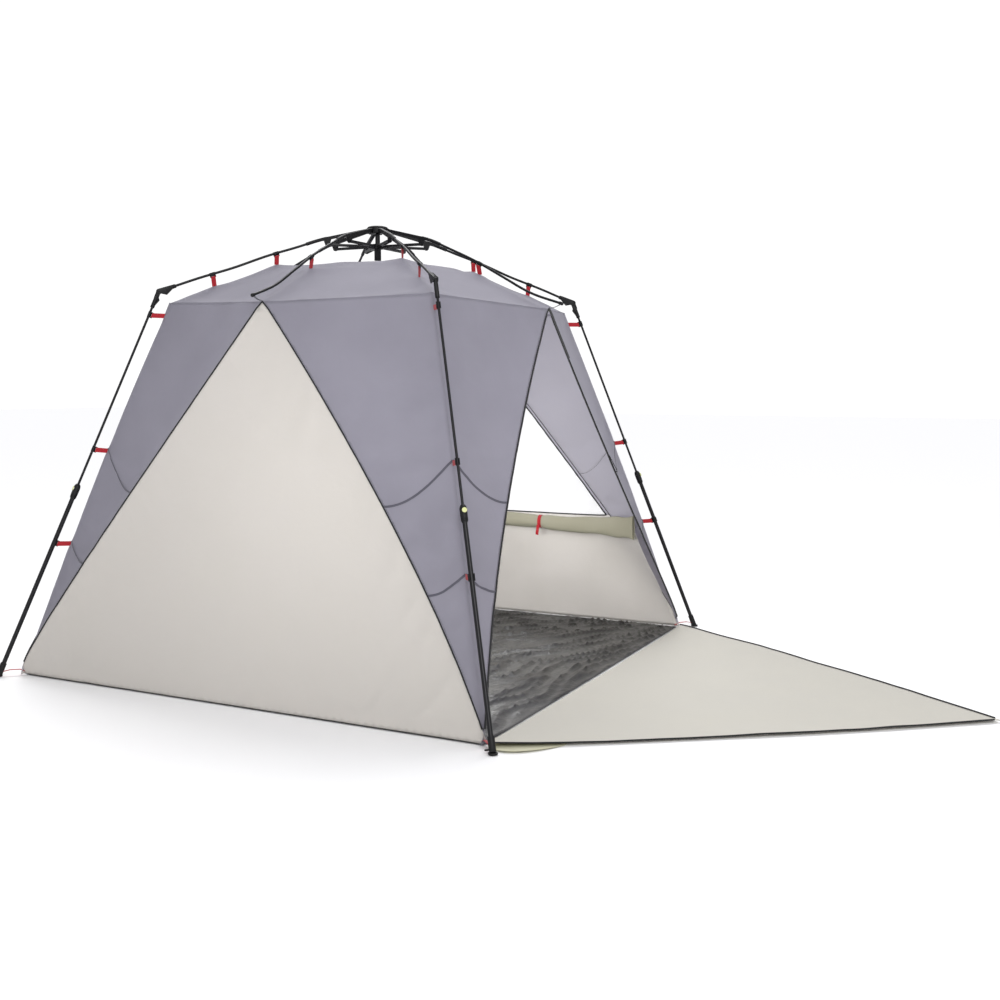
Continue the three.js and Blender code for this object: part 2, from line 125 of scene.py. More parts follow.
def noise(tree, size_mm, detail, **more):
    """Noise in object space with features of about size_mm."""
    place = node(tree, "ShaderNodeTexCoord").outputs["Object"]
    inputs = {"Vector": place, "Scale": 1 / (size_mm * MM), "Detail": detail, **more}
    return node(tree, "ShaderNodeTexNoise", inputs=inputs).outputs["Fac"]


def colour_mix(tree, factor, first, second):
    """Two hex colours mixed by a factor."""
    mixed = node(tree, "ShaderNodeMix", {"data_type": "RGBA"}, {"Factor": factor})
    mixed.inputs["A"].default_value = linear(first)
    mixed.inputs["B"].default_value = linear(second)
    return mixed.outputs["Result"]


def bump(tree, height, strength, distance, **more):
    inputs = {"Height": height, "Strength": strength, "Distance": distance, **more}
    return node(tree, "ShaderNodeBump", inputs=inputs).outputs["Normal"]


def new_material(name):
    material = bpy.data.materials.new(name)
    material.use_nodes = True
    material.node_tree.nodes.clear()
    return material, material.node_tree


def finish_material(tree, shader):
    node(tree, "ShaderNodeOutputMaterial", inputs={"Surface": shader.outputs[0]})


# %% [markdown]
# ### Coated polyester cloth
# The canopy is plain-weave polyester with a thin polyurethane coat: matt, slightly sheeny at grazing angles,
# and thin enough to let some daylight through. The real threads are about 0.3 mm apart, far too fine to
# show, so the weave is drawn at a ripstop-like 5 mm where it just reads, and a broad soft noise
# gives the puckers that a sewn sheet always has.

# %% Cloth materials
WEAVE_MM = 5.0
PUCKER_MM = 90.0
CREASE_MM = 260.0


def cloth_material(name, colour, shade, through, see_through):
    """Plain weave: two tones in broad patches, and the through colour where light comes from behind."""
    material, tree = new_material(name)
    broad = noise(tree, CREASE_MM, 4.0, Roughness=0.55)
    tone = node(tree, "ShaderNodeMapRange", inputs={"Value": broad, "From Min": 0.3, "From Max": 0.7})
    pucker = noise(tree, PUCKER_MM, 6.0, Roughness=0.6, Distortion=0.4)
    folds = bump(tree, pucker, 0.35, 0.006)
    weave = bump(tree, noise(tree, WEAVE_MM, 2.0, Roughness=0.7), 0.25, 0.0006, Normal=folds)
    surface = node(tree, "ShaderNodeBsdfPrincipled", inputs={
        "Base Color": colour_mix(tree, tone.outputs["Result"], shade, colour), "Normal": weave,
        "Roughness": 0.72, "IOR": 1.45, "Specular IOR Level": 0.35,
        "Sheen Weight": 0.12, "Sheen Roughness": 0.5,
    })
    light = node(tree, "ShaderNodeBsdfTranslucent", inputs={"Color": linear(through), "Normal": weave})
    mixed = node(tree, "ShaderNodeMixShader", inputs={"Fac": see_through})
    tree.links.new(surface.outputs[0], mixed.inputs[1])
    tree.links.new(light.outputs[0], mixed.inputs[2])
    finish_material(tree, mixed)
    return material


grey_polyester = cloth_material("grey_coated_polyester", "#97959f", "#8e8c96", "#c2c0ca", 0.34)
white_polyester = cloth_material("off_white_coated_polyester", "#d6d2cd", "#d6d2cc", "#f4f2ee", 0.42)
grey_lining = cloth_material("silver_grey_coated_side", "#d3d1d8", "#cbc9d0", "#dcdae2", 0.5)
white_lining = cloth_material("white_coated_side", "#efece8", "#e8e5e0", "#f8f6f3", 0.42)
cream_polyester = cloth_material("cream_coated_polyester", "#c4c1b8", "#c6c3b9", "#e8e6dc", 0.15)
beige_polyester = cloth_material("beige_coated_polyester", "#b9b6a2", "#aeab95", "#d2cfbb", 0.3)
yellowed_polyester = cloth_material("pale_yellow_coated_polyester", "#d3d1b8", "#c9c7ab", "#e2e0c8", 0.2)
print("the main cloths:", grey_polyester.name, "and", white_polyester.name)

# %% [markdown]
# The window is fine white insect mesh, more hole than thread, so it is a white cloth at part alpha. The
# groundsheet is woven polyethylene with a film on it: dark, and glossier than the canopy, which is why each
# crease in it shows a bright side and a black side. The black side is deepened with painted shade.

# %% Window mesh and floor cloth
MESH_COVER = 0.36
THREAD_MM = 3.0
FLOOR_WEAVE_MM = 4.0
DUST_MM = 120.0
CRINKLE_MM = 28.0


def window_mesh_material():
    material, tree = new_material("white_insect_mesh")
    thread = noise(tree, THREAD_MM, 2.0)
    finish_material(tree, node(tree, "ShaderNodeBsdfPrincipled", inputs={
        "Base Color": colour_mix(tree, thread, "#f4f4f5", "#fdfdfd"), "Roughness": 0.7, "Alpha": MESH_COVER,
    }))
    return material


def floor_cloth_material():
    """Dark film over a weave, a little dust, and painted shade in the folds from the sheet's crease value."""
    material, tree = new_material("charcoal_woven_polyethylene")
    place = node(tree, "ShaderNodeTexCoord").outputs["Object"]
    weave = node(tree, "ShaderNodeTexVoronoi", {"distance": "CHEBYCHEV"}, {
        "Vector": place, "Scale": 1 / (FLOOR_WEAVE_MM * MM), "Randomness": 0.15,
    })
    film = colour_mix(tree, noise(tree, DUST_MM, 6.0), "#2e2e2e", "#50504d")
    fold = node(tree, "ShaderNodeAttribute", {"attribute_name": "crease"})
    deep = node(tree, "ShaderNodeMapRange", inputs={
        "Value": fold.outputs["Fac"], "From Min": 0.12, "From Max": 0.75,
    })
    # painted shade: the colour goes toward near black deep in each crease
    body = node(tree, "ShaderNodeMix", {"data_type": "RGBA"}, {"Factor": deep.outputs["Result"], "A": film})
    body.inputs["B"].default_value = linear("#0c0c0c")
    crinkle = noise(tree, CRINKLE_MM, 5.0, Roughness=0.62, Distortion=0.8)
    threads = bump(tree, weave.outputs["Distance"], 0.15, 0.0005, Normal=bump(tree, crinkle, 0.35, 0.008))
    finish_material(tree, node(tree, "ShaderNodeBsdfPrincipled", inputs={
        "Base Color": body.outputs["Result"], "Roughness": 0.32, "Specular IOR Level": 0.7, "Normal": threads,
    }))
    return material


window_mesh_cloth = window_mesh_material()
floor_polyethylene = floor_cloth_material()
print("window and floor:", window_mesh_cloth.name, floor_polyethylene.name)

# %% [markdown]
# ### Hard parts
# The poles are powder-coated steel and wrapped fibreglass, the fittings are moulded nylon, and the lock
# buttons are moulded in a pale acetal that shows up against the black.

# %% Hard materials
WEAR_MM = 35.0


def moulded_material(name, colour, worn, roughness, grain_mm, coat=0.0, grain_depth=0.15):
    """A moulded or powder-coated skin: fine grain in the bump, a little wear in colour and roughness."""
    material, tree = new_material(name)
    wear = noise(tree, WEAR_MM, 5.0, Roughness=0.65)
    rough = node(tree, "ShaderNodeMapRange", inputs={
        "Value": wear, "From Min": 0.25, "From Max": 0.75,
        "To Min": roughness - 0.07, "To Max": roughness + 0.08,
    })
    finish_material(tree, node(tree, "ShaderNodeBsdfPrincipled", inputs={
        "Base Color": colour_mix(tree, wear, colour, worn), "Roughness": rough.outputs["Result"],
        "Coat Weight": coat, "Coat Roughness": 0.2, "Specular IOR Level": 0.3,
        "Normal": bump(tree, noise(tree, grain_mm, 3.0, Roughness=0.6), grain_depth, 0.0004),
    }))
    return material


black_nylon = moulded_material("black_moulded_nylon", "#0d0d0f", "#151517", 0.5, 0.9)
black_steel = moulded_material("black_powder_coated_steel", "#0e0e10", "#17171a", 0.38, 0.6, coat=0.05)
black_fibreglass = moulded_material("black_wrapped_fibreglass", "#101012", "#19191c", 0.42, 0.7)
pale_acetal = moulded_material("pale_yellow_acetal", "#dfe2a6", "#d4d79a", 0.35, 1.2, grain_depth=0.05)
print("hard materials:", black_nylon.name, black_steel.name, black_fibreglass.name, pale_acetal.name)

# %% [markdown]
# ### Webbing and trim
# Straps, ties and tapes are woven polyester: matt, slightly fuzzy, and darker where the fine bump is low.

# %% Trim materials
RIB_OF_WEBBING_MM = 1.6


def webbing_material(name, colour, shade):
    """Flat woven tape."""
    material, tree = new_material(name)
    fuzz = noise(tree, RIB_OF_WEBBING_MM, 3.0, Roughness=0.7)
    finish_material(tree, node(tree, "ShaderNodeBsdfPrincipled", inputs={
        "Base Color": colour_mix(tree, fuzz, shade, colour), "Roughness": 0.8, "Sheen Weight": 0.2,
        "Normal": bump(tree, fuzz, 0.5, 0.0005),
    }))
    return material


red_webbing = webbing_material("red_polyester_webbing", "#c01626", "#8f0d1a")
grey_webbing = webbing_material("grey_polyester_webbing", "#5c5c66", "#43434b")
black_tape = webbing_material("black_piping_tape", "#161619", "#0d0d0f")
dark_seam = webbing_material("dark_grey_seam_tape", "#5b5a64", "#4e4d57")
grey_seam = webbing_material("grey_seam_thread", "#8f8d98", "#84828d")
print("trim materials:", red_webbing.name, grey_webbing.name, black_tape.name)

# %% [markdown]
# ## Meshes
# Most pieces are meshes made from rows of points. These helpers put an object in the scene, turn points and
# faces into one, measure it, turn its modifiers into plain mesh, and put it on the body that it moves with.

# %% Helpers for meshes


def placed(name, data):
    """A new object, linked to the scene, at the origin."""
    made = bpy.data.objects.new(name, data)
    bpy.context.scene.collection.objects.link(made)
    return made


def mesh_object(name, points, faces, material):
    mesh = bpy.data.meshes.new(name)
    mesh.from_pydata([tuple(map(float, p)) for p in points], [], [tuple(map(int, f)) for f in faces])
    mesh.validate()
    mesh.materials.append(material)
    mesh.shade_smooth()
    return placed(name, mesh)


def grid_faces(columns, rows):
    """Faces of a grid of points that are listed row by row."""
    stride = columns + 1
    corners = (0, 1, stride + 1, stride)
    return [tuple(j * stride + i + corner for corner in corners) for j in range(rows) for i in range(columns)]


def face_area(points, face):
    corners = points[list(face)]
    fan = [np.cross(corners[k] - corners[0], corners[k + 1] - corners[0]) for k in range(1, len(face) - 1)]
    return sum(float(np.linalg.norm(n)) for n in fan) / 2


def total_area(points, faces):
    return sum(face_area(points, face) for face in faces)


def applied(made):
    """The object with its modifiers turned into mesh and removed."""
    bpy.context.view_layer.update()
    seen = made.evaluated_get(bpy.context.evaluated_depsgraph_get())
    mesh = bpy.data.meshes.new_from_object(seen)
    made.modifiers.clear()
    made.data = mesh
    return made


def settle(made, body, replaces=()):
    """Puts a finished piece on its body, and hides the CAD nodes that it stands for."""
    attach(made, body)
    if replaces:
        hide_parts(*replaces)
    return made


def turned_points(points, azimuth):
    c, s = math.cos(azimuth), math.sin(azimuth)
    points = np.asarray(points, float)
    x, y = points[..., 0] * c - points[..., 1] * s, points[..., 0] * s + points[..., 1] * c
    return np.stack([x, y, points[..., 2]], axis=-1)


# %% [markdown]
# ## The cloth shell
# The real cover is one sewn shell: an eight-sided roof, four corner sheets that come to a point at the feet,
# and a triangle in each side. It is built here as one grid, so that neighbours share their seam
# points, then pulled into shape as one cloth, and only then parted into its pieces.

# %% The shell's outline
WALL_HEAD = 1.356
WALL_FOOT = 0.004
ROOM_MIDDLE = (0, 0, 0.3)
FLOOR_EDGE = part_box("groundsheet")[1][0]
HALF_WIDTH = 0.975
SHOULDER = (0.800, 1.378)
PEAK_OUT = 0.742
ROOF_TOP = 1.560


def wall_out(z):
    """How far a wall stands from the middle at a height. Its foot is tucked in over the groundsheet."""
    t = z / 1.345
    tuck = 0.022 * math.exp(-z / 0.03)
    return 0.976 - 0.340 * t + 0.105 * t * t - tuck


def wall_half(z):
    """Half the width of a wall's triangle at a height."""
    return max(0.004, HALF_WIDTH * (1 - (z / (WALL_HEAD + 0.006)) ** 1.15))


def ridge_point(v):
    """The corner ridge beside a leg, from the shoulder at 0 to the foot at 1: distance out and height."""
    z = SHOULDER[1] + (WALL_FOOT - SHOULDER[1]) * v
    out = SHOULDER[0] + (FLOOR_EDGE * math.sqrt(2) + 0.004 - SHOULDER[0]) * v + 0.06 * v * (1 - v)
    return out, z


def roof_height(r, corner_share):
    """The roof's height under a corner rib (share 1), under a side rib (0), or between them."""
    under_corner = np.interp(r, [0, 0.12, 0.25, 0.40, 0.66, SHOULDER[0]],
                             [ROOF_TOP, 1.559, 1.556, 1.539, 1.440, SHOULDER[1]])
    under_side = np.interp(r, [0, 0.12, 0.25, 0.35, 0.445, 0.60, PEAK_OUT],
                           [ROOF_TOP, 1.559, 1.553, 1.536, 1.502, 1.432, WALL_HEAD])
    return under_side + (under_corner - under_side) * corner_share


# %% The shell's grid
RIM_STEPS = 44
ROOF_RINGS = 34
SIDE_ROWS = 60
shell_points = []
shell_faces = []
face_region = []


def put(point):
    shell_points.append(tuple(point))
    return len(shell_points) - 1


def stitch(row_a, row_b, region):
    """Triangles and quads between two rows of points whose counts may differ."""
    i = j = 0
    while i < len(row_a) - 1 or j < len(row_b) - 1:
        ahead_a = (i + 1) / max(1, len(row_a) - 1) if i < len(row_a) - 1 else 9
        ahead_b = (j + 1) / max(1, len(row_b) - 1) if j < len(row_b) - 1 else 9
        if abs(ahead_a - ahead_b) < 1e-6:
            shell_faces.append((row_a[i], row_b[j], row_b[j + 1], row_a[i + 1]))
            i, j = i + 1, j + 1
        elif ahead_a < ahead_b:
            shell_faces.append((row_a[i], row_b[j], row_a[i + 1]))
            i += 1
        else:
            shell_faces.append((row_a[i], row_b[j], row_b[j + 1]))
            j += 1
        face_region.append(region)


CORNER_NAMES = ["back_right", "back_left", "front_left", "front_right"]
CORNER_AT = [math.radians(a) for a in (45, 135, 225, 315)]
SIDE_NAMES = ["right", "back", "left", "front"]
SIDE_AT = [math.radians(a) for a in (0, 90, 180, 270)]
apex_index = [put(turned_points([wall_out(WALL_HEAD), 0, WALL_HEAD], azimuth)) for azimuth in SIDE_AT]


def corner_cross_section(v, share):
    """A point of the corner sheet at 45 degrees, from the wall on its right (0) to the next wall (1)."""
    z_edge = WALL_HEAD + (WALL_FOOT - WALL_HEAD) * v
    edge = Vector((wall_out(z_edge), wall_half(z_edge) if v > 0 else 0.0, z_edge))
    out, z_ridge = ridge_point(v)
    ridge = Vector((out * math.sqrt(0.5), out * math.sqrt(0.5), z_ridge))
    point = ridge.lerp(edge, abs(2 * share - 1))
    return point if share <= 0.5 else Vector((point.y, point.x, point.z))


corner_rows = {}
for c in range(4):
    rows = []
    for j in range(SIDE_ROWS + 1):
        v = j / SIDE_ROWS
        count = max(2, 2 * round(RIM_STEPS * (1 - v) / 2))
        row = []
        for i in range(count + 1):
            if j == 0 and i == 0:
                row.append(apex_index[c])
            elif j == 0 and i == count:
                row.append(apex_index[(c + 1) % 4])
            else:
                row.append(put(turned_points(corner_cross_section(v, i / count), SIDE_AT[c])))
        rows.append(row)
    for j in range(SIDE_ROWS):
        stitch(rows[j], rows[j + 1], f"corner_{CORNER_NAMES[c]}")
    corner_rows[c] = rows

# %% [markdown]
# Each wall's rows end on the same points as the two corner sheets beside it, which is what sews them
# together. A narrow border column runs along each edge, so that the window can be cut exactly along it.

# %% The walls' rows
BORDER = 0.016
WALL_CELL = 0.03
wall_rows = {}
for c, side in enumerate(SIDE_NAMES):
    rows = []
    left_corner, right_corner = corner_rows[(c - 1) % 4], corner_rows[c]
    for j in range(1, SIDE_ROWS + 1):
        first, last = left_corner[j][-1], right_corner[j][0]
        z = shell_points[first][2]
        half = wall_half(z)
        inner_count = max(1, round(2 * (half - BORDER) / WALL_CELL))
        row = [first]
        if half > 2 * BORDER and side != "front":
            for i in range(inner_count + 1):
                across = (half - BORDER) * (2 * i / inner_count - 1)
                row.append(put(turned_points([wall_out(z), across, z], SIDE_AT[c])))
        row.append(last)
        rows.append(row)
    wall_rows[side] = rows
    if side == "front":
        continue
    stitch([apex_index[c]], rows[0], f"wall_{side}")
    for a, b in zip(rows, rows[1:]):
        if len(a) == 2 or len(b) == 2:
            stitch(a, b, f"wall_{side}")
            continue
        shell_faces.append((a[0], b[0], b[1], a[1]))
        face_region.append(f"wall_{side}")
        stitch(a[1:-1], b[1:-1], f"wall_{side}_inner")
        shell_faces.append((a[-2], b[-2], b[-1], a[-1]))
        face_region.append(f"wall_{side}")

# %% The roof's rings
rim = []
for c in range(4):
    rim += corner_rows[c][0][:-1]
ring_count = len(rim)
centre = put((0, 0, ROOF_TOP))
rings = []
for k in range(1, ROOF_RINGS):
    share = k / ROOF_RINGS
    ring = []
    for i in range(ring_count):
        edge = shell_points[rim[i]]
        r_edge = math.hypot(edge[0], edge[1])
        azimuth = math.atan2(edge[1], edge[0])
        corner_share = (1 - math.cos(4 * azimuth)) / 2
        r = r_edge * share
        full = PEAK_OUT + (SHOULDER[0] - PEAK_OUT) * corner_share
        z = float(roof_height(share * full, corner_share))
        ring.append(put((r * math.cos(azimuth), r * math.sin(azimuth), z)))
    rings.append(ring)
rings.append(rim)
for i in range(ring_count):
    n = (i + 1) % ring_count
    shell_faces.append((centre, rings[0][i], rings[0][n]))
    face_region.append("roof")
    for a, b in zip(rings, rings[1:]):
        shell_faces.append((a[i], b[i], b[n], a[n]))
        face_region.append("roof")
print("shell:", len(shell_points), "points,", len(shell_faces), "faces")

# %% [markdown]
# ### Letting the cloth settle
# A sewn cover is never flat between its seams: it hangs a little, and it is drawn up where a strap pulls.
# Blender's Cloth does that on the whole shell at once, so seams stay shared. The straps, the ground edge and
# the four peaks hold it fast, the seams give a little, and the panels between are free.

# %% Where the cloth is held
ELBOW = (0.838, 1.421)
FOOT = (1.443, 0.0)
LEG_TIE_SHARES = (0.060, 0.412, 0.655)
CORNER_RIB_TIES = (0.400, 0.644)
SIDE_RIB_TIES = (0.450,)
SEAM_HOLD = 0.85


def nearest_index(place, among):
    there = np.array([shell_points[i] for i in among])
    return among[int(np.argmin(np.linalg.norm(there - np.asarray(place), axis=1)))]


def polar(r, azimuth, z):
    return (r * math.cos(azimuth), r * math.sin(azimuth), z)


def leg_place(share):
    return ELBOW[0] + (FOOT[0] - ELBOW[0]) * share, ELBOW[1] + (FOOT[1] - ELBOW[1]) * share


ridge_lines = [[row[len(row) // 2] for row in corner_rows[c]] for c in range(4)]
roof_indices = [i for ring in rings for i in ring]
leg_ties = {}
rib_ties = {}
for c, name in enumerate(CORNER_NAMES):
    for share in LEG_TIE_SHARES:
        r, z = leg_place(share)
        leg_ties[name, share] = nearest_index(polar(r - 0.05, CORNER_AT[c], z), ridge_lines[c][1:])
    for r in CORNER_RIB_TIES:
        rib_ties[name, r] = nearest_index(polar(r, CORNER_AT[c], roof_height(r, 1)), roof_indices)
for c, name in enumerate(SIDE_NAMES):
    for r in SIDE_RIB_TIES:
        rib_ties[name, r] = nearest_index(polar(r, SIDE_AT[c], roof_height(r, 0)), roof_indices)

held = np.zeros(len(shell_points))
seam_points = {i for c in range(4) for row in corner_rows[c] for i in (row[0], row[-1])} | set(rim)
held[sorted(seam_points)] = SEAM_HOLD
held[[i for line in ridge_lines for i in line]] = SEAM_HOLD
fast = set(leg_ties.values()) | set(rib_ties.values()) | set(apex_index) | {centre}
fast |= {i for i, point in enumerate(shell_points) if point[2] < 0.02}
held[sorted(fast)] = 1.0
print("held fast:", len(fast), "points, straps:", len(leg_ties) + len(rib_ties))

# %% Settle it
SETTLE_FRAMES = 24
MOST_MOVED = 0.016
CLOTH_MASS = 0.15


def settled(points):
    """The shell's points after the cloth has hung, never more than MOST_MOVED from where they were."""
    shell = mesh_object("shell_to_settle", points, shell_faces, grey_polyester)
    group = shell.vertex_groups.new(name="held")
    for weight in (SEAM_HOLD, 1.0):
        group.add([int(i) for i in np.flatnonzero(held == weight)], weight, "REPLACE")
    cloth = shell.modifiers.new("settle", "CLOTH")
    cloth.settings.vertex_group_mass = "held"
    cloth.settings.quality = 5
    cloth.settings.mass = CLOTH_MASS
    cloth.settings.tension_stiffness = 30
    cloth.settings.compression_stiffness = 12
    cloth.settings.shear_stiffness = 8
    cloth.settings.bending_stiffness = 0.3
    cloth.settings.shrink_min = -0.008
    cloth.settings.effector_weights.gravity = 0.35
    cloth.collision_settings.use_self_collision = False
    for frame_number in range(1, SETTLE_FRAMES + 1):
        bpy.context.scene.frame_set(frame_number)
    seen = shell.evaluated_get(bpy.context.evaluated_depsgraph_get())
    after = np.array([v.co for v in seen.data.vertices])
    bpy.data.objects.remove(shell)
    bpy.context.scene.frame_set(1)
    move = after - points
    length = np.linalg.norm(move, axis=1, keepdims=True)
    return points + move * np.tanh(length / MOST_MOVED) * MOST_MOVED / np.maximum(length, 1e-9)


unsettled = np.array(shell_points)
shell_array = settled(unsettled)
print("moved at most", round(1000 * float(np.abs(shell_array - unsettled).max()), 1), "mm")

# %% [markdown]
# Every strap also gathers the cloth into short creases that run out from it. They are finer than the cloth
# grid can settle into by itself, so they are added as a small push along each point's normal.

# %% Creases at the straps
CREASE_REACH = 0.085
CREASE_HEIGHT = 0.0035
CREASES = 5


def point_normals(points):
    """A normal at each point of the shell, away from the room."""
    total = np.zeros_like(points)
    for face in shell_faces:
        corners = points[list(face)]
        normal = np.cross(corners[1] - corners[0], corners[2] - corners[0])
        if np.dot(normal, corners.mean(axis=0) - ROOM_MIDDLE) < 0:
            normal = -normal
        for i in face:
            total[i] += normal
    return total / np.maximum(np.linalg.norm(total, axis=1, keepdims=True), 1e-12)


def creased(points, normals):
    """The points with a star of creases round each strap."""
    points = points.copy()
    for k, i in enumerate(sorted(set(leg_ties.values()) | set(rib_ties.values()))):
        away = points - points[i]
        distance = np.linalg.norm(away, axis=1)
        near = distance < 4 * CREASE_REACH
        side = np.cross(normals[i], (0.0, 0.0, 1.0) if abs(normals[i][2]) < 0.8 else (1.0, 0.0, 0.0))
        side /= np.linalg.norm(side)
        up = np.cross(side, normals[i])
        angle = np.arctan2(away[near] @ up, away[near] @ side)
        fade = (distance[near] / 0.03).clip(0, 1) * np.exp(-distance[near] / CREASE_REACH)
        wave = np.cos(CREASES * angle + 1.7 * k) + 0.5 * np.cos((CREASES + 3) * angle + k)
        push = CREASE_HEIGHT * fade * wave * (held[near] < 0.9)
        points[near] += normals[near] * push[:, None]
    return points


shell_normals = point_normals(shell_array)
shell_array = creased(shell_array, shell_normals)
print("creases at", len(leg_ties) + len(rib_ties), "straps")

# %% [markdown]
# ### Cutting the shell into its panels
# Each panel takes its own faces from the settled grid, so two neighbours meet on exactly the same line. One
# subdivision rounds the grid, and Solidify gives the sheet its thickness with the coated, paler side inside.

# %% Panels
CLOTH_THICKNESS = 0.0008
WINDOW_SILL = 0.50
RIDGE_FOLD = 0.7


def above_sill(k):
    """Whether a face of the shell is above the window's sill."""
    heights = [unsettled[i][2] for i in shell_faces[k]]
    return sum(heights) / len(heights) > WINDOW_SILL


def finish_sheet(made, lining, thickness=CLOTH_THICKNESS, smooth=True):
    """One subdivision, then a thickness; the inner side takes the lining."""
    made.data.materials.append(lining)
    if smooth:
        rounded = made.modifiers.new("rounded", "SUBSURF")
        rounded.levels = rounded.render_levels = 1
        rounded.boundary_smooth = "PRESERVE_CORNERS"
    thick = made.modifiers.new("thickness", "SOLIDIFY")
    thick.thickness = thickness
    thick.offset = 0
    thick.material_offset = 1
    return applied(made)


def panel(name, chosen, material, lining):
    """A panel of the shell from its face numbers, and the flat area that it is cut from."""
    faces = []
    for k in chosen:
        corners = shell_array[list(shell_faces[k])]
        normal = np.cross(corners[1] - corners[0], corners[2] - corners[0])
        outward = np.dot(normal, corners.mean(axis=0) - ROOM_MIDDLE) > 0
        faces.append(shell_faces[k] if outward else shell_faces[k][::-1])
    used = sorted({i for f in faces for i in f})
    where = {old: new for new, old in enumerate(used)}
    made = mesh_object(name, shell_array[used], [[where[i] for i in f] for f in faces], material)
    on_ridge = {where[i] for line in ridge_lines for i in line if i in where}
    fold = made.data.attributes.new("crease_edge", "FLOAT", "EDGE")
    for edge in made.data.edges:
        if edge.vertices[0] in on_ridge and edge.vertices[1] in on_ridge:
            fold.data[edge.index].value = RIDGE_FOLD
    return finish_sheet(made, lining), total_area(unsettled, [shell_faces[k] for k in chosen])


def of_region(*regions):
    return [k for k, region in enumerate(face_region) if region in regions]


def hang(made, nodes):
    """Rides on the cloth body, and hides the CAD nodes that it stands for."""
    settle(made, "cloth", nodes)
    return collapses(made)


def collapses(made):
    """Gives the piece its own copy of its mesh."""
    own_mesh(made)
    return made


roof_cloth, roof_area = panel("roof_cloth", of_region("roof"), grey_polyester, grey_lining)
hang(roof_cloth, ["roof"])
for name in CORNER_NAMES:
    made, area = panel(f"corner_cloth_{name}", of_region(f"corner_{name}"), grey_polyester, grey_lining)
    hang(made, [f"corner_{name}"])
for side in ("left", "back"):
    made, area = panel(
        f"wall_cloth_{side}", of_region(f"wall_{side}", f"wall_{side}_inner"), white_polyester, white_lining)
    hang(made, [f"wall_{side}"])
window_faces = [k for k in of_region("wall_right_inner") if above_sill(k)]
border_faces = [k for k in of_region("wall_right") if above_sill(k)]
wall_faces = [k for k in of_region("wall_right", "wall_right_inner") if not above_sill(k)]
made, area = panel("wall_cloth_right", wall_faces, white_polyester, white_lining)
hang(made, ["wall_right"])
made, area = panel("window_border", border_faces, grey_polyester, grey_lining)
hang(made, [])
made, area = panel("window_panel", window_faces, window_mesh_cloth, window_mesh_cloth)
hang(made, ["window_mesh"])
print("roof", round(roof_area, 2), "m2, window", round(area, 2), "m2")

# %% [markdown]
# ## The groundsheet
# The floor is a tougher, darker, slightly shiny sheet. It was folded up small in its bag, and the frame pulls
# it tight from the corners, so it is full of small sharp creases that fan out from the front right foot.
# Ridged noise, squeezed along the lines of the fan, gives that: long thin creases about 50 mm apart in the
# middle of the sheet.

# %% Groundsheet
FLOOR_CELLS = 150
CREASE_SPACING = 0.052
FLOOR_RELIEF = 0.0210
FLOOR_THICKNESS = 0.0006
fan_centre = Vector((FLOOR_EDGE + 0.25, -FLOOR_EDGE - 0.12, 0))


def ridged(place):
    """1 along a crease and 0 between creases."""
    return (1 - min(1.0, abs(mathutils_noise.noise(place)) * 2.4)) ** 3


def floor_height(x, y):
    """The sheet's height at a place, and how deep in a crease the place is."""
    away = Vector((x, y, 0)) - fan_centre
    angle = math.atan2(away.y, away.x)
    across = angle * 1.25 / CREASE_SPACING
    along = away.length / 0.55
    wobble = mathutils_noise.noise(Vector((x * 3, y * 3, 1.7))) * 2.2
    fan = ridged(Vector((across + wobble, along, 0.3)))
    fine = ridged(Vector((across * 2.1 + 1.4 * wobble, along * 1.9, 4.1)))
    broad = mathutils_noise.noise(Vector((x * 2.2, y * 2.2, 9.1)))
    rim = min(1.0, (FLOOR_EDGE - max(abs(x), abs(y))) / 0.05)
    relief = FLOOR_RELIEF * (0.62 * fan + 0.30 * fine) + 0.003 * (broad + 0.5)
    return max(0.0009, 0.0014 + relief * (0.15 + 0.85 * rim)), min(1.0, fan + 0.6 * fine)


ticks = np.linspace(-FLOOR_EDGE, FLOOR_EDGE, FLOOR_CELLS + 1)
floor_relief = [(x, y, *floor_height(x, y)) for y in ticks for x in ticks]
floor_points = [place[:3] for place in floor_relief]
floor_faces = grid_faces(FLOOR_CELLS, FLOOR_CELLS)
floor_sheet = mesh_object("floor_sheet", floor_points, floor_faces, floor_polyethylene)
crease_layer = floor_sheet.data.attributes.new("crease", "FLOAT", "POINT")
crease_layer.data.foreach_set("value", [place[3] for place in floor_relief])
finish_sheet(floor_sheet, floor_polyethylene, FLOOR_THICKNESS, smooth=False)
settle(floor_sheet, "cloth", ["groundsheet"])
print("groundsheet:", 2 * FLOOR_EDGE, "m square")

# %% [markdown]
# ## The door flap
# The doorway's triangle of cloth is unzipped and laid out in front as a porch. It lies flat on the ground,
# but slack cloth keeps a few broad low swells, and the edges with their zips wander a little.

# %% Door flap
FLAP_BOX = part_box("door_flap")
FLAP_HINGE = FLAP_BOX[1][1]
FLAP_TIP = FLAP_BOX[0][1]
FLAP_ROWS = 70


def flap_half(share):
    """Half the flap's width: its edges bow in a little near the sill and wander further out."""
    bow = -0.020 * math.sin(math.pi * min(1.0, share * 1.6)) + 0.006 * math.sin(9 * share)
    return max(0.003, wall_half(share * WALL_HEAD) - 0.008 + bow * (1 - share))


def flap_place(across, share):
    """A point of the flap: across runs from -1 to 1, share from the hinge to the tip."""
    y = FLAP_HINGE + (FLAP_TIP - FLAP_HINGE) * share
    x = across * flap_half(share)
    swell = mathutils_noise.noise(Vector((x * 3.1, y * 2.6, 5.5))) + 0.5
    small = mathutils_noise.noise(Vector((x * 9, y * 11, 2.5)))
    edge_lift = 0.0035 * abs(across) ** 6
    z = 0.0022 + 0.006 * max(0, swell) * (1 - 0.6 * share) + 0.0016 * small + edge_lift
    return (x, y, max(0.0014, z))


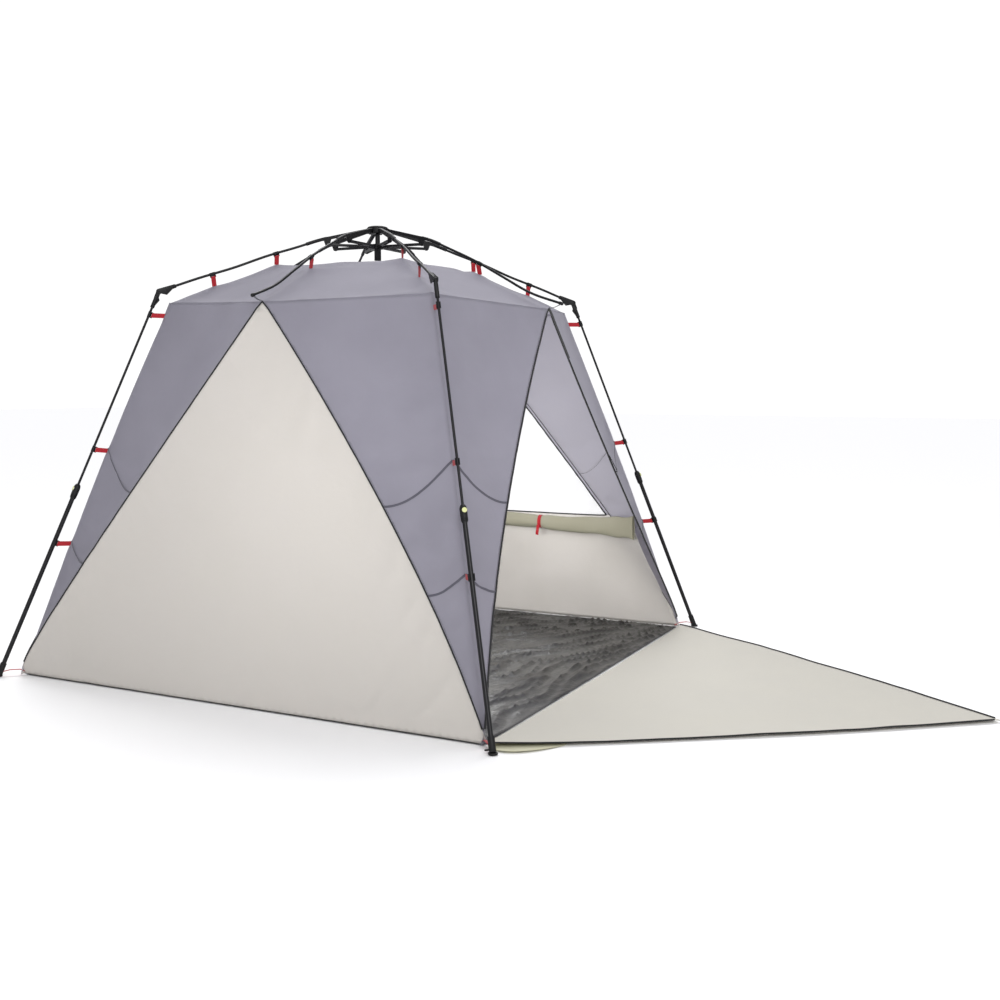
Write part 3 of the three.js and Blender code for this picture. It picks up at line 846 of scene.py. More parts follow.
flap_points = []
flap_rows = []
for j in range(FLAP_ROWS + 1):
    share = j / FLAP_ROWS
    count = max(2, round(2 * flap_half(share) / 0.028))
    row = []
    for i in range(count + 1):
        flap_points.append(flap_place(2 * i / count - 1, share))
        row.append(len(flap_points) - 1)
    flap_rows.append(row)


def stitched(row_a, row_b):
    """Faces between two rows of points whose counts may differ."""
    start = len(shell_faces)
    stitch(row_a, row_b, "elsewhere")
    made = shell_faces[start:]
    del shell_faces[start:]
    del face_region[start:]
    return made


flap_faces = [face[::-1] for a, b in zip(flap_rows, flap_rows[1:]) for face in stitched(a, b)]
flap_array = np.array(flap_points)
flap_cloth = mesh_object("door_flap_cloth", flap_points, flap_faces, cream_polyester)
finish_sheet(flap_cloth, cream_polyester)
settle(flap_cloth, "door_flap", ["door_flap"])

# %% [markdown]
# Under the flap's left end a strip of paler, yellower cloth peeps out as a low crescent beside the zip. It is
# taken to be the sod cloth that runs along the sill.

# %% Sill strip
STRIP_FROM = 0.004
STRIP_TO = 0.150
STRIP_COLUMNS = 6
STRIP_ROWS = 24


def strip_row(share):
    """One row of the crescent, from under the flap to its outer edge."""
    at = STRIP_FROM + (STRIP_TO - STRIP_FROM) * share
    y = FLAP_HINGE + (FLAP_TIP - FLAP_HINGE) * at
    bulge = 0.070 * math.sin(math.pi * share) ** 0.8
    inner = -flap_half(at) + 0.05
    outer = -flap_half(at) - bulge + 0.002
    lift = 0.0045 * math.sin(math.pi * share)
    return [(inner + (outer - inner) * k / STRIP_COLUMNS, y, 0.0007 + lift * (k / STRIP_COLUMNS) ** 3)
            for k in range(STRIP_COLUMNS + 1)]


strip_points = [point for j in range(STRIP_ROWS + 1) for point in strip_row(j / STRIP_ROWS)]
strip_faces = grid_faces(STRIP_COLUMNS, STRIP_ROWS)
sill_strip = mesh_object("sill_strip", strip_points, strip_faces, yellowed_polyester)
finish_sheet(sill_strip, yellowed_polyester, 0.0006)
settle(sill_strip, "door_flap")
print("sill strip:", len(strip_points), "points")

# %% [markdown]
# ## The rolled window cover
# The window's inner cover is unzipped and rolled down to the sill, where a red strap ties it. A roll is one
# long spiral, so its section here is a real spiral of cloth, three turns of it. Toward the doorway the roll
# loosens and fans out. Below the roll the cover hangs on, inside the wall, and swings round to the door edge.

# %% The cover's path
COVER_TOP = 0.452
COVER_STANDOFF = 0.014
ROLL_RADIUS = 0.032
COVER_BEND = 0.72


def cad_wall_out(z):
    t = z / 1.345
    return 0.973 - 0.333 * t + 0.100 * t * t


def cad_wall_half(z):
    return 0.975 * (1 - (z / 1.382) ** 1.15)


def cover_place(along, z, inward=0.0):
    """A point of the cover: along the right wall from the back, then across the front right corner."""
    along = min(1.0, along)
    x = cad_wall_out(z) - COVER_STANDOFF - inward
    half = cad_wall_half(z)
    start = Vector((x, -(half - 0.240)))
    if along < COVER_BEND:
        return Vector((x, half - 0.060 + (start.y - half + 0.060) * along / COVER_BEND, z))
    corner = Vector((x, -(half + 0.030)))
    end = Vector((half - 0.012 - 0.3 * inward, -(cad_wall_out(z) - 0.018 - 0.5 * inward)))
    t = (along - COVER_BEND) / (1 - COVER_BEND)
    flat = start * (1 - t) ** 2 + corner * 2 * t * (1 - t) + end * t * t
    return Vector((flat.x, flat.y, z))


# %% The roll
ROLL_STEPS = 120
ROLL_TURNS = 3.0
ROLL_REACH = 0.998
ROLL_SEGMENTS = 60
ROLL_CLOTH_THICKNESS = 0.0009
STRAP_AT = 0.640
roll_points = []
for j in range(ROLL_STEPS + 1):
    along = ROLL_REACH * j / ROLL_STEPS
    place = cover_place(along, COVER_TOP, ROLL_RADIUS - 0.008)
    ahead = cover_place(along + 0.01, COVER_TOP, ROLL_RADIUS - 0.008)
    behind = cover_place(max(0, along - 0.01), COVER_TOP, ROLL_RADIUS - 0.008)
    tangent = (ahead - behind).normalized()
    inward = Vector((0, 0, 1)).cross(tangent).normalized()
    loose = max(0.0, (along - STRAP_AT) / (ROLL_REACH - STRAP_AT)) ** 1.3
    pinch = 1 - 0.16 * math.exp(-((along - STRAP_AT) / 0.02) ** 2)
    half_height = (0.034 + 0.020 * loose) * pinch
    half_depth = (0.026 - 0.019 * loose) * pinch
    lift = 0.004 + 0.016 * loose - 0.006 * math.sin(3 * math.pi * along)
    for i in range(ROLL_SEGMENTS + 1):
        turn = 2 * math.pi * ROLL_TURNS * i / ROLL_SEGMENTS
        spread = 0.42 + 0.58 * i / ROLL_SEGMENTS
        spot = Vector((along * 13, math.cos(turn) * 0.9, math.sin(turn) * 0.9 + spread))
        spread *= 1 + 0.20 * mathutils_noise.noise(spot)
        offset = inward * (math.cos(turn) * half_depth * spread)
        offset += Vector((0, 0, math.sin(turn) * half_height * spread + lift))
        roll_points.append(place + offset)
roll_faces = grid_faces(ROLL_SEGMENTS, ROLL_STEPS)
roll_array = np.array([tuple(p) for p in roll_points])
cover_roll = mesh_object("cover_roll", roll_points, roll_faces, beige_polyester)
finish_sheet(cover_roll, beige_polyester, ROLL_CLOTH_THICKNESS, smooth=False)
settle(cover_roll, "cloth", ["window_cover_roll"])
collapses(cover_roll)

# %% The hanging part
HANGING_COLUMNS = 110
HANGING_ROWS = 22


def hanging_place(along, drop):
    """drop is 0 under the roll and 1 at the floor."""
    top = COVER_TOP + 0.02 * max(0.0, (along - STRAP_AT)) - 0.012
    z = top + (0.010 - top) * drop
    place = cover_place(along, z, 0.004)
    wave = 0.005 * math.sin(21 * along + 2.2 * drop) * math.sin(math.pi * drop) * (0.3 + along)
    soft = 0.006 * mathutils_noise.noise(Vector((along * 7, drop * 2, 3.3)))
    inward = Vector((-place.x, -place.y, 0)).normalized()
    return place + inward * (0.004 + wave + soft)


hanging_points = [hanging_place(ROLL_REACH * i / HANGING_COLUMNS, j / HANGING_ROWS)
                  for j in range(HANGING_ROWS + 1) for i in range(HANGING_COLUMNS + 1)]
hanging_faces = grid_faces(HANGING_COLUMNS, HANGING_ROWS)
cover_hanging = mesh_object("cover_hanging", hanging_points, hanging_faces, white_lining)
finish_sheet(cover_hanging, white_lining)
settle(cover_hanging, "cloth")
collapses(cover_hanging)

# %% [markdown]
# ## The frame's moulded fittings
# The hub, runner, struts, brackets, locks, buttons and feet keep the shapes of their CAD solids. Moulded
# parts never have knife edges, so each is a copy with its doubles merged, its flat faces joined, and every
# sharp edge given a small two-step bevel that catches the light.

# %% Fittings


def softened(node_name, material, bevel_mm, body):
    """A copy of a CAD solid with soft edges."""
    mesh = frame["nodes"][node_name].data.copy()
    mesh.name = f"{node_name}_fitting"
    work = bmesh.new()
    work.from_mesh(mesh)
    bmesh.ops.remove_doubles(work, verts=work.verts, dist=1e-5)
    bmesh.ops.dissolve_limit(work, angle_limit=math.radians(1.0), verts=work.verts, edges=work.edges)
    work.to_mesh(mesh)
    work.free()
    mesh.materials.clear()
    mesh.materials.append(material)
    made = placed(f"{node_name}_fitting", mesh)
    rounded = made.modifiers.new("edges", "BEVEL")
    rounded.width = bevel_mm * MM
    rounded.segments = 2
    rounded.limit_method = "ANGLE"
    rounded.angle_limit = math.radians(42)
    applied(made)
    made.data.shade_smooth()
    made.data.set_sharp_from_angle(angle=math.radians(38))
    return settle(made, body, [node_name])


softened("hub_crown", black_nylon, 0.8, "hub")
softened("hub_cap", black_nylon, 0.6, "hub")
softened("runner", black_nylon, 0.7, "runner")
for name in CORNER_NAMES + SIDE_NAMES:
    softened(f"strut_{name}", black_steel, 0.4, f"strut_{name}")
for name in CORNER_NAMES:
    softened(f"rib_end_{name}", black_nylon, 0.6, f"rib_{name}")
    softened(f"leg_top_{name}", black_nylon, 0.6, f"upper_leg_{name}")
    softened(f"lock_{name}", black_nylon, 0.8, f"lower_leg_{name}")
    softened(f"button_{name}", pale_acetal, 0.9, f"button_{name}")
    softened(f"foot_{name}", black_nylon, 0.9, f"lower_leg_{name}")

# %% [markdown]
# ## The poles
# The ribs are solid fibreglass rods bent by the cloth's pull. Each leg is a thin fibreglass pole that slides
# in a thicker steel tube. A tube is a ring of points carried along a path, with its ends closed.

# %% Swept tubes
TUBE_SIDES = 20


def swept(path, radii, sides=TUBE_SIDES):
    """Points and faces of a closed tube along a path; radii has one radius for each point."""
    path = [Vector(p) for p in path]
    points, faces = [], []
    side = None
    for k, place in enumerate(path):
        tangent = (path[min(k + 1, len(path) - 1)] - path[max(k - 1, 0)]).normalized()
        if side is None:
            side = tangent.cross(Vector((0, 0, 1)))
            if side.length < 1e-3:
                side = tangent.cross(Vector((1, 0, 0)))
        side = (side - tangent * side.dot(tangent)).normalized()
        top = tangent.cross(side).normalized()
        for i in range(sides):
            angle = 2 * math.pi * i / sides
            points.append(place + (side * math.cos(angle) + top * math.sin(angle)) * radii[k])
    for k in range(len(path) - 1):
        for i in range(sides):
            n = (i + 1) % sides
            a, b = k * sides, (k + 1) * sides
            faces.append((a + i, a + n, b + n, b + i))
    faces.append(tuple(range(sides))[::-1])
    last = (len(path) - 1) * sides
    faces.append(tuple(last + i for i in range(sides)))
    return points, faces


def merged_mesh(name, parts, material, sharp_at=38):
    """One object from several (points, faces) parts."""
    points, faces = [], []
    for part_points, part_faces in parts:
        start = len(points)
        points += list(part_points)
        faces += [tuple(i + start for i in face) for face in part_faces]
    made = mesh_object(name, points, faces, material)
    work = bmesh.new()
    work.from_mesh(made.data)
    bmesh.ops.recalc_face_normals(work, faces=work.faces)
    work.to_mesh(made.data)
    work.free()
    made.data.set_sharp_from_angle(angle=math.radians(sharp_at))
    return made


def rounded_rod(path, radius, sides=TUBE_SIDES):
    """A tube whose ends are chamfered, so that they are not knife edged."""
    path = [Vector(p) for p in path]
    start = (path[1] - path[0]).normalized()
    end = (path[-1] - path[-2]).normalized()
    nose = radius * 0.35
    full = [path[0], path[0] + start * nose] + path[1:-1] + [path[-1] - end * nose, path[-1]]
    radii = [radius * 0.7, radius] + [radius] * (len(full) - 4) + [radius, radius * 0.7]
    return swept(full, radii, sides)


def smooth_curve(points, count):
    """A smooth line of count points through the given ones."""
    points = np.asarray(points, float)
    steps = np.concatenate([[0], np.cumsum(np.linalg.norm(np.diff(points, axis=0), axis=1))])
    slopes = np.gradient(points, steps, axis=0)
    out = []
    for s in np.linspace(0, steps[-1], count):
        k = min(len(steps) - 2, int(np.searchsorted(steps, s, side="right")) - 1)
        h = steps[k + 1] - steps[k]
        t = (s - steps[k]) / h
        out.append(points[k] * (2 * t ** 3 - 3 * t ** 2 + 1) + points[k + 1] * (3 * t ** 2 - 2 * t ** 3)
                   + slopes[k] * h * (t ** 3 - 2 * t ** 2 + t) + slopes[k + 1] * h * (t ** 3 - t ** 2))
    return np.array(out)


def in_plane(azimuth, points):
    """Points given as (outward, height) or (outward, height, sideways), turned to an azimuth."""
    full = [(p[0], p[2] if len(p) > 2 else 0.0, p[1]) for p in points]
    return turned_points(np.array(full, float), azimuth)


# %% Ribs
ROD_RADIUS = 0.00475
ROOT_RADIUS = 0.0066
ROOT_HALF_HEIGHT = 0.006
ROOT_WIDTH = 0.012
LUG_WIDTH = 0.011
RIVET_RADIUS = 0.0018
RIVET_HALF_LENGTH = 0.0105
PIVOT = (0.035, 1.684)
ROOT_END = (0.228, 1.637)
END_SLOPE = math.atan2(0.37, 1)


def on_rib_end(distance):
    return (ELBOW[0] - math.cos(END_SLOPE) * distance, ELBOW[1] + math.sin(END_SLOPE) * distance)


CORNER_RIB = [(0.200, 1.645), (0.228, 1.637), (0.320, 1.605), (0.430, 1.569), (0.560, 1.519),
              on_rib_end(0.150), on_rib_end(0.062), on_rib_end(0.020)]
SIDE_RIB = [(0.200, 1.645), (0.228, 1.637), (0.330, 1.594), (0.440, 1.543), (0.550, 1.482), (0.670, 1.417),
            (0.792, 1.375)]
rib_lines = {"corner": smooth_curve(CORNER_RIB, 60), "side": smooth_curve(SIDE_RIB, 60)}


def stadium(start, end, half, steps=8):
    """Outline of a straight link with round ends."""
    along = math.atan2(end[1] - start[1], end[0] - start[0])
    outline = []
    for middle, first in ((start, along + math.pi / 2), (end, along - math.pi / 2)):
        for k in range(steps + 1):
            angle = first + math.pi * k / steps
            outline.append((middle[0] + half * math.cos(angle), middle[1] + half * math.sin(angle)))
    return outline


def slab(outline, width, azimuth, chamfer=0.0012):
    """A plate in a rib's upright plane, with its rim chamfered."""
    middle = np.mean(outline, axis=0)
    layers = []
    half = width / 2
    for side, inset in ((-half, chamfer), (-half + chamfer, 0), (half - chamfer, 0), (half, chamfer)):
        layer = []
        for p in outline:
            away = np.asarray(p) - middle
            scale = 1 - inset / max(np.linalg.norm(away), 0.004)
            q = middle + away * scale
            layer.append((q[0], q[1], side))
        layers.append(layer)
    points = [tuple(p) for layer in layers for p in in_plane(azimuth, layer)]
    n = len(outline)
    faces = [(k * n + i, k * n + (i + 1) % n, (k + 1) * n + (i + 1) % n, (k + 1) * n + i)
             for k in range(3) for i in range(n)]
    faces.append(tuple(range(n))[::-1])
    faces.append(tuple(3 * n + i for i in range(n)))
    return points, faces


LUG = [(0.184, 1.645), (0.193, 1.616), (0.197, 1.613), (0.203, 1.613), (0.207, 1.616), (0.216, 1.640)]


def rivet(at, azimuth, radius, half_length, head=0.0009):
    """A pin straight through, with low domed heads."""
    outer = [(half_length, 1.0), (half_length + head * 0.5, 0.8), (half_length + head, 0.35)]
    ends = [(-side, share) for side, share in reversed(outer)] + outer
    path = in_plane(azimuth, [(at[0], at[1], side) for side, _ in ends])
    return swept(path, [radius * share for _, share in ends], 14)


for names, places, kind in ((CORNER_NAMES, CORNER_AT, "corner"), (SIDE_NAMES, SIDE_AT, "side")):
    for name, azimuth in zip(names, places):
        line = in_plane(azimuth, [tuple(p) for p in rib_lines[kind]])
        rod = merged_mesh(f"rib_rod_{name}", [rounded_rod(line, ROD_RADIUS)], black_fibreglass)
        settle(rod, f"rib_{name}", [f"rib_{name}"])
        root = merged_mesh(f"rib_root_{name}", [
            slab(stadium(PIVOT, ROOT_END, ROOT_HALF_HEIGHT), ROOT_WIDTH, azimuth),
            slab(LUG, LUG_WIDTH, azimuth, 0.0008),
            rivet(PIVOT, azimuth, RIVET_RADIUS, RIVET_HALF_LENGTH),
            rounded_rod(line[:9], ROOT_RADIUS),
        ], black_nylon)
        settle(root, f"rib_{name}")
print("ribs:", 8)

# %% Legs and shaft
UPPER_POLE_RADIUS = 0.0045
LOWER_POLE_RADIUS = 0.008
LEG_UNIT = np.array([FOOT[0] - ELBOW[0], FOOT[1] - ELBOW[1]])
LEG_LENGTH = float(np.linalg.norm(LEG_UNIT))
LEG_UNIT /= LEG_LENGTH
LOCK_MIDDLE = LEG_LENGTH * 0.524
LOCK_RIDGES = (0.0135, 0.0175, 0.0215)


def on_leg(distance):
    """The point of a leg's middle line at a distance below the elbow, as outward and height."""
    return ELBOW[0] + LEG_UNIT[0] * distance, ELBOW[1] + LEG_UNIT[1] * distance


def leg_line(start, end, count):
    return [on_leg(start + (end - start) * k / (count - 1)) for k in range(count)]


for name, azimuth in zip(CORNER_NAMES, CORNER_AT):
    upper = rounded_rod(in_plane(azimuth, leg_line(0.023, LOCK_MIDDLE + 0.090, 6)), UPPER_POLE_RADIUS)
    made = merged_mesh(f"upper_pole_{name}", [upper], black_fibreglass)
    settle(made, f"upper_leg_{name}", [f"upper_leg_{name}"])
    path = in_plane(azimuth, leg_line(LOCK_MIDDLE + 0.007, LEG_LENGTH - 0.020, 8))
    lower = rounded_rod(path, LOWER_POLE_RADIUS, 24)
    made = merged_mesh(f"lower_pole_{name}", [lower], black_steel)
    settle(made, f"lower_leg_{name}", [f"lower_leg_{name}"])
    rings_on_lock = []
    for drop in LOCK_RIDGES:
        path = in_plane(azimuth, leg_line(LOCK_MIDDLE + drop - 0.0009, LOCK_MIDDLE + drop + 0.0009, 4))
        rings_on_lock.append(swept(path, [0.0112, 0.0121, 0.0121, 0.0112], 24))
    path = in_plane(azimuth, leg_line(LOCK_MIDDLE - 0.0305, LOCK_MIDDLE - 0.0262, 4))
    rings_on_lock.append(swept(path, [0.0058, 0.0078, 0.0084, 0.0080], 24))
    made = merged_mesh(f"lock_rings_{name}", rings_on_lock, black_nylon)
    settle(made, f"lower_leg_{name}")
SHAFT_PATH = [(0, 0, 1.572), (0, 0, 1.62), (0, 0, 1.6707)]
SHAFT_RADIUS = 0.0095
shaft = merged_mesh("hub_shaft_tube", [rounded_rod(SHAFT_PATH, SHAFT_RADIUS, 32)], black_steel)
settle(shaft, "hub", ["hub_shaft"])
print("leg length:", round(LEG_LENGTH, 3), "m")

# %% [markdown]
# ## Straps
# The cover hangs from short loops of red webbing. Each loop runs through a black clip that snaps round the
# pole. A loop is one long flat band, so it is a rectangular section carried along its own path: up one
# side, round the clip's bar and down again.

# %% Straps and clips
WEBBING_WIDTH = 0.0170
WEBBING_THICKNESS = 0.0011
CLIP_WALL = 0.0022
BAR_STANDOFF = 0.0065


def band(path, across, width, thickness):
    """A flat band along a path; across is its width direction."""
    path = [Vector(p) for p in path]
    across = Vector(across).normalized()
    points, faces = [], []
    for k, place in enumerate(path):
        tangent = (path[min(k + 1, len(path) - 1)] - path[max(k - 1, 0)]).normalized()
        side = (across - tangent * across.dot(tangent)).normalized() * (width / 2)
        out = tangent.cross(side).normalized() * (thickness / 2)
        points += [place - side - out, place + side - out, place + side + out, place - side + out]
    for k in range(len(path) - 1):
        for i in range(4):
            n = (i + 1) % 4
            faces.append((4 * k + i, 4 * k + n, 4 * k + 4 + n, 4 * k + 4 + i))
    last = 4 * (len(path) - 1)
    faces += [(3, 2, 1, 0), (last, last + 1, last + 2, last + 3)]
    return points, faces


def loop_path(pole, cloth_place, axis, reach):
    """From the cloth to the clip's bar, round it, and back; axis is the pole's direction."""
    spread = 0.0012
    pole, cloth_place = Vector(pole), Vector(cloth_place)
    pull = pole - cloth_place
    pull = (pull - axis * pull.dot(axis)).normalized()
    beside = axis.cross(pull).normalized()
    bar = pole - pull * reach
    start = cloth_place - pull * 0.004
    path = [start + beside * spread * 0.6]
    path += [start.lerp(bar, t) + beside * spread * (0.6 + 1.2 * t) for t in (0.3, 0.6, 0.85)]
    path += [bar + beside * (spread * 1.9 * math.cos(a)) + pull * (spread * 1.9 * math.sin(a))
             for a in np.linspace(0, math.pi, 7)]
    path += [start.lerp(bar, t) - beside * spread * (0.6 + 1.2 * t) for t in (0.85, 0.6, 0.3)]
    path += [start - beside * spread * 0.6]
    return path, bar, beside, pull


def strap(name, pole, pole_radius, axis, cloth_place, body):
    """A webbing loop from a pole to the cover, with its clip: a collar, two rails and a bar."""
    axis = Vector(axis).normalized()
    path, bar, beside, pull = loop_path(pole, cloth_place, axis, pole_radius + BAR_STANDOFF)
    loop = merged_mesh(f"strap_{name}", [band(path, axis, WEBBING_WIDTH, WEBBING_THICKNESS)], red_webbing, 30)
    settle(loop, body)
    pole = Vector(pole)
    half = WEBBING_WIDTH / 2 + CLIP_WALL
    ring = [pole + (beside * math.cos(a) + pull * math.sin(a)) * (pole_radius + CLIP_WALL)
            for a in np.linspace(-1.25 * math.pi, 0.25 * math.pi, 15)]
    collar = [band(ring, axis, 2 * half, 0.0026)]
    for side in (-1, 1):
        beyond = axis * side * (half - 0.0013)
        rail = [pole - pull * (pole_radius + CLIP_WALL) + beyond, bar + beyond - pull * CLIP_WALL]
        collar.append(swept(rail, [CLIP_WALL, 0.0019], 10))
    collar.append(rounded_rod([bar - axis * half, bar, bar + axis * half], 0.0014, 10))
    settle(merged_mesh(f"clip_{name}", collar, black_nylon), body)


for (name, r), i in rib_ties.items():
    kind = "corner" if name in CORNER_NAMES else "side"
    azimuth = (CORNER_AT + SIDE_AT)[(CORNER_NAMES + SIDE_NAMES).index(name)]
    k = int(np.argmin(np.abs(rib_lines[kind][:, 0] - r)))
    pole = in_plane(azimuth, [tuple(rib_lines[kind][k])])[0]
    ahead = in_plane(azimuth, [tuple(rib_lines[kind][k + 1])])[0]
    strap(f"rib_{name}_{round(1000 * r)}", pole, ROD_RADIUS, ahead - pole, shell_array[i], f"rib_{name}")
for (name, share), i in leg_ties.items():
    azimuth = CORNER_AT[CORNER_NAMES.index(name)]
    above_lock = share < 0.5
    pole = in_plane(azimuth, [on_leg(LEG_LENGTH * share)])[0]
    ahead = in_plane(azimuth, [on_leg(LEG_LENGTH * share + 0.01)])[0]
    body, radius = ("upper_leg", UPPER_POLE_RADIUS) if above_lock else ("lower_leg", LOWER_POLE_RADIUS)
    strap(f"leg_{name}_{round(1000 * share)}", pole, radius, ahead - pole, shell_array[i], f"{body}_{name}")
print("straps:", len(rib_ties) + len(leg_ties))

# %% [markdown]
# At each side rib's tip a short grey tie holds the peak of the triangle, and at each foot a small red loop
# holds the cover's corner.

# %% Peak ties and foot loops
TIE_WIDTH = 0.009
TIE_THICKNESS = 0.0012
FOOT_LOOP_WIDTH = 0.010
FOOT_LOOP_THICKNESS = 0.0014
for c, name in enumerate(SIDE_NAMES):
    tip = in_plane(SIDE_AT[c], [SIDE_RIB[-1]])[0]
    peak = shell_array[apex_index[c]]
    across = in_plane(SIDE_AT[c], [(0, 0, 1)])[0]
    middle = (np.asarray(tip) + peak) / 2 - (0, 0, 0.003)
    path = [tip + (0, 0, 0.0062), tip + (0, 0, -0.002), middle, peak + (0, 0, 0.002)]
    tie = merged_mesh(f"peak_tie_{name}", [band(path, across, TIE_WIDTH, TIE_THICKNESS)], grey_webbing, 30)
    settle(tie, f"rib_{name}")
    outward = in_plane(SIDE_AT[c], [(1, -0.35)])[0]
    tip_cap = merged_mesh(f"rib_tip_{name}", [swept(
        [tip - outward * 0.010, tip - outward * 0.004, tip + outward * 0.004, tip + outward * 0.007],
        [0.0056, 0.0064, 0.0064, 0.0040], 16)], black_nylon)
    settle(tip_cap, f"rib_{name}")
corner_r = FLOOR_EDGE * math.sqrt(2)
foot_loop_path = [(corner_r - 0.012, 0.010), (corner_r + 0.012, 0.020), (FOOT[0] - 0.040, 0.021),
                  (FOOT[0] - 0.016, 0.016), (FOOT[0] - 0.004, 0.012)]
for c, name in enumerate(CORNER_NAMES):
    across = in_plane(CORNER_AT[c], [(0, 0, 1)])[0]
    loop = band(in_plane(CORNER_AT[c], foot_loop_path), across, FOOT_LOOP_WIDTH, FOOT_LOOP_THICKNESS)
    settle(merged_mesh(f"foot_loop_{name}", [loop], red_webbing, 30), "cloth")
print("peak ties and foot loops:", 8)

# %% [markdown]
# ## Piping, zips and stitches
# All of these follow a line on the cloth or repeat along it, which is what Geometry Nodes are good at. One
# tree sweeps a round profile along a line. The other sets small beads along it: long thin ones are
# stitches, short wide ones are the teeth of a coil zip.

# %% Two node trees


def new_tree(name, inputs):
    """An empty geometry tree with named inputs; returns it with its input node and their identifiers."""
    tree = bpy.data.node_groups.new(name, "GeometryNodeTree")
    tree.interface.new_socket("Geometry", in_out="INPUT", socket_type="NodeSocketGeometry")
    keys = {}
    for label, kind in inputs:
        keys[label] = tree.interface.new_socket(label, in_out="INPUT", socket_type=kind).identifier
    tree.interface.new_socket("Geometry", in_out="OUTPUT", socket_type="NodeSocketGeometry")
    return tree, node(tree, "NodeGroupInput"), keys


def end_tree(tree, given, geometry):
    real = node(tree, "GeometryNodeRealizeInstances", inputs={"Geometry": geometry})
    painted = node(tree, "GeometryNodeSetMaterial", inputs={
        "Geometry": real.outputs[0], "Material": given.outputs["Material"],
    })
    node(tree, "NodeGroupOutput", inputs={"Geometry": painted.outputs[0]})


piping_tree, given, piping_keys = new_tree("piping", [
    ("Step", "NodeSocketFloat"), ("Radius", "NodeSocketFloat"), ("Sides", "NodeSocketInt"),
    ("Material", "NodeSocketMaterial"),
])
line = node(piping_tree, "GeometryNodeMeshToCurve", inputs={"Mesh": given.outputs["Geometry"]})
even = node(piping_tree, "GeometryNodeResampleCurve", {"mode": "LENGTH"}, {
    "Curve": line.outputs[0], "Length": given.outputs["Step"],
})
profile = node(piping_tree, "GeometryNodeCurvePrimitiveCircle", inputs={
    "Resolution": given.outputs["Sides"], "Radius": given.outputs["Radius"],
})
tube = node(piping_tree, "GeometryNodeCurveToMesh", inputs={
    "Curve": even.outputs[0], "Profile Curve": profile.outputs[0], "Fill Caps": True,
})
end_tree(piping_tree, given, tube.outputs[0])

bead_tree, given, bead_keys = new_tree("beads_on_a_line", [
    ("Spacing", "NodeSocketFloat"), ("Length", "NodeSocketFloat"), ("Width", "NodeSocketFloat"),
    ("Height", "NodeSocketFloat"), ("Material", "NodeSocketMaterial"),
])
line = node(bead_tree, "GeometryNodeMeshToCurve", inputs={"Mesh": given.outputs["Geometry"]})
places = node(bead_tree, "GeometryNodeCurveToPoints", {"mode": "LENGTH"}, {
    "Curve": line.outputs[0], "Length": given.outputs["Spacing"],
})
outward = node(bead_tree, "GeometryNodeInputNamedAttribute", {"data_type": "FLOAT_VECTOR"}, {
    "Name": "surface_normal",
})
along_line = node(bead_tree, "FunctionNodeAlignRotationToVector", {"axis": "Z"}, {
    "Vector": places.outputs["Tangent"],
})
facing_out = node(bead_tree, "FunctionNodeAlignRotationToVector", {"axis": "X", "pivot_axis": "Z"}, {
    "Rotation": along_line.outputs[0], "Vector": outward.outputs["Attribute"],
})
bead = node(bead_tree, "GeometryNodeMeshIcoSphere", inputs={"Radius": 0.5, "Subdivisions": 1})
size = node(bead_tree, "ShaderNodeCombineXYZ", inputs={
    "X": given.outputs["Height"], "Y": given.outputs["Width"], "Z": given.outputs["Length"],
})
beads = node(bead_tree, "GeometryNodeInstanceOnPoints", inputs={
    "Points": places.outputs["Points"], "Instance": bead.outputs["Mesh"],
    "Rotation": facing_out.outputs[0], "Scale": size.outputs[0],
})
end_tree(bead_tree, given, beads.outputs[0])
print("trees:", piping_tree.name, bead_tree.name)

# %% Lines to follow


def line_object(name, lines):
    """A mesh of open lines; each is a list of points with a list of normals."""
    points, normals, edges = [], [], []
    for line_points, line_normals in lines:
        start = len(points)
        points += [tuple(map(float, p)) for p in line_points]
        normals += [tuple(map(float, n)) for n in line_normals]
        edges += [(start + k, start + k + 1) for k in range(len(line_points) - 1)]
    mesh = bpy.data.meshes.new(name)
    mesh.from_pydata(points, edges, [])
    out = mesh.attributes.new("surface_normal", "FLOAT_VECTOR", "POINT")
    out.data.foreach_set("vector", np.array(normals, np.float32).ravel())
    return placed(name, mesh)


def grown(name, lines, tree, keys, values):
    """Runs a tree on lines and keeps the plain mesh."""
    made = line_object(name, lines)
    nodes = made.modifiers.new("grow", "NODES")
    nodes.node_group = tree
    for label, value in values.items():
        nodes[keys[label]] = value
    return applied(made)


def piping(name, lines, radius, material, body, sides=10, step=0.012):
    made = grown(name, lines, piping_tree, piping_keys, {
        "Step": step, "Radius": radius, "Sides": sides, "Material": material,
    })
    made.data.shade_smooth()
    return settle(made, body)


def beading(name, lines, spacing, length, width, height, material, body):
    made = grown(name, lines, bead_tree, bead_keys, {
        "Spacing": spacing, "Length": length, "Width": width, "Height": height, "Material": material,
    })
    return settle(made, body)


def along_shell(indices, lift, shift=None):
    """A line over shell points, lifted off the cloth; shift moves it sideways toward other shell points."""
    points = shell_array[indices] + shell_normals[indices] * lift
    if shift is not None:
        toward, distance = shift
        away = shell_array[toward] - shell_array[indices]
        away /= np.maximum(np.linalg.norm(away, axis=1, keepdims=True), 1e-6)
        points = points + away * distance
    return points, shell_normals[indices]


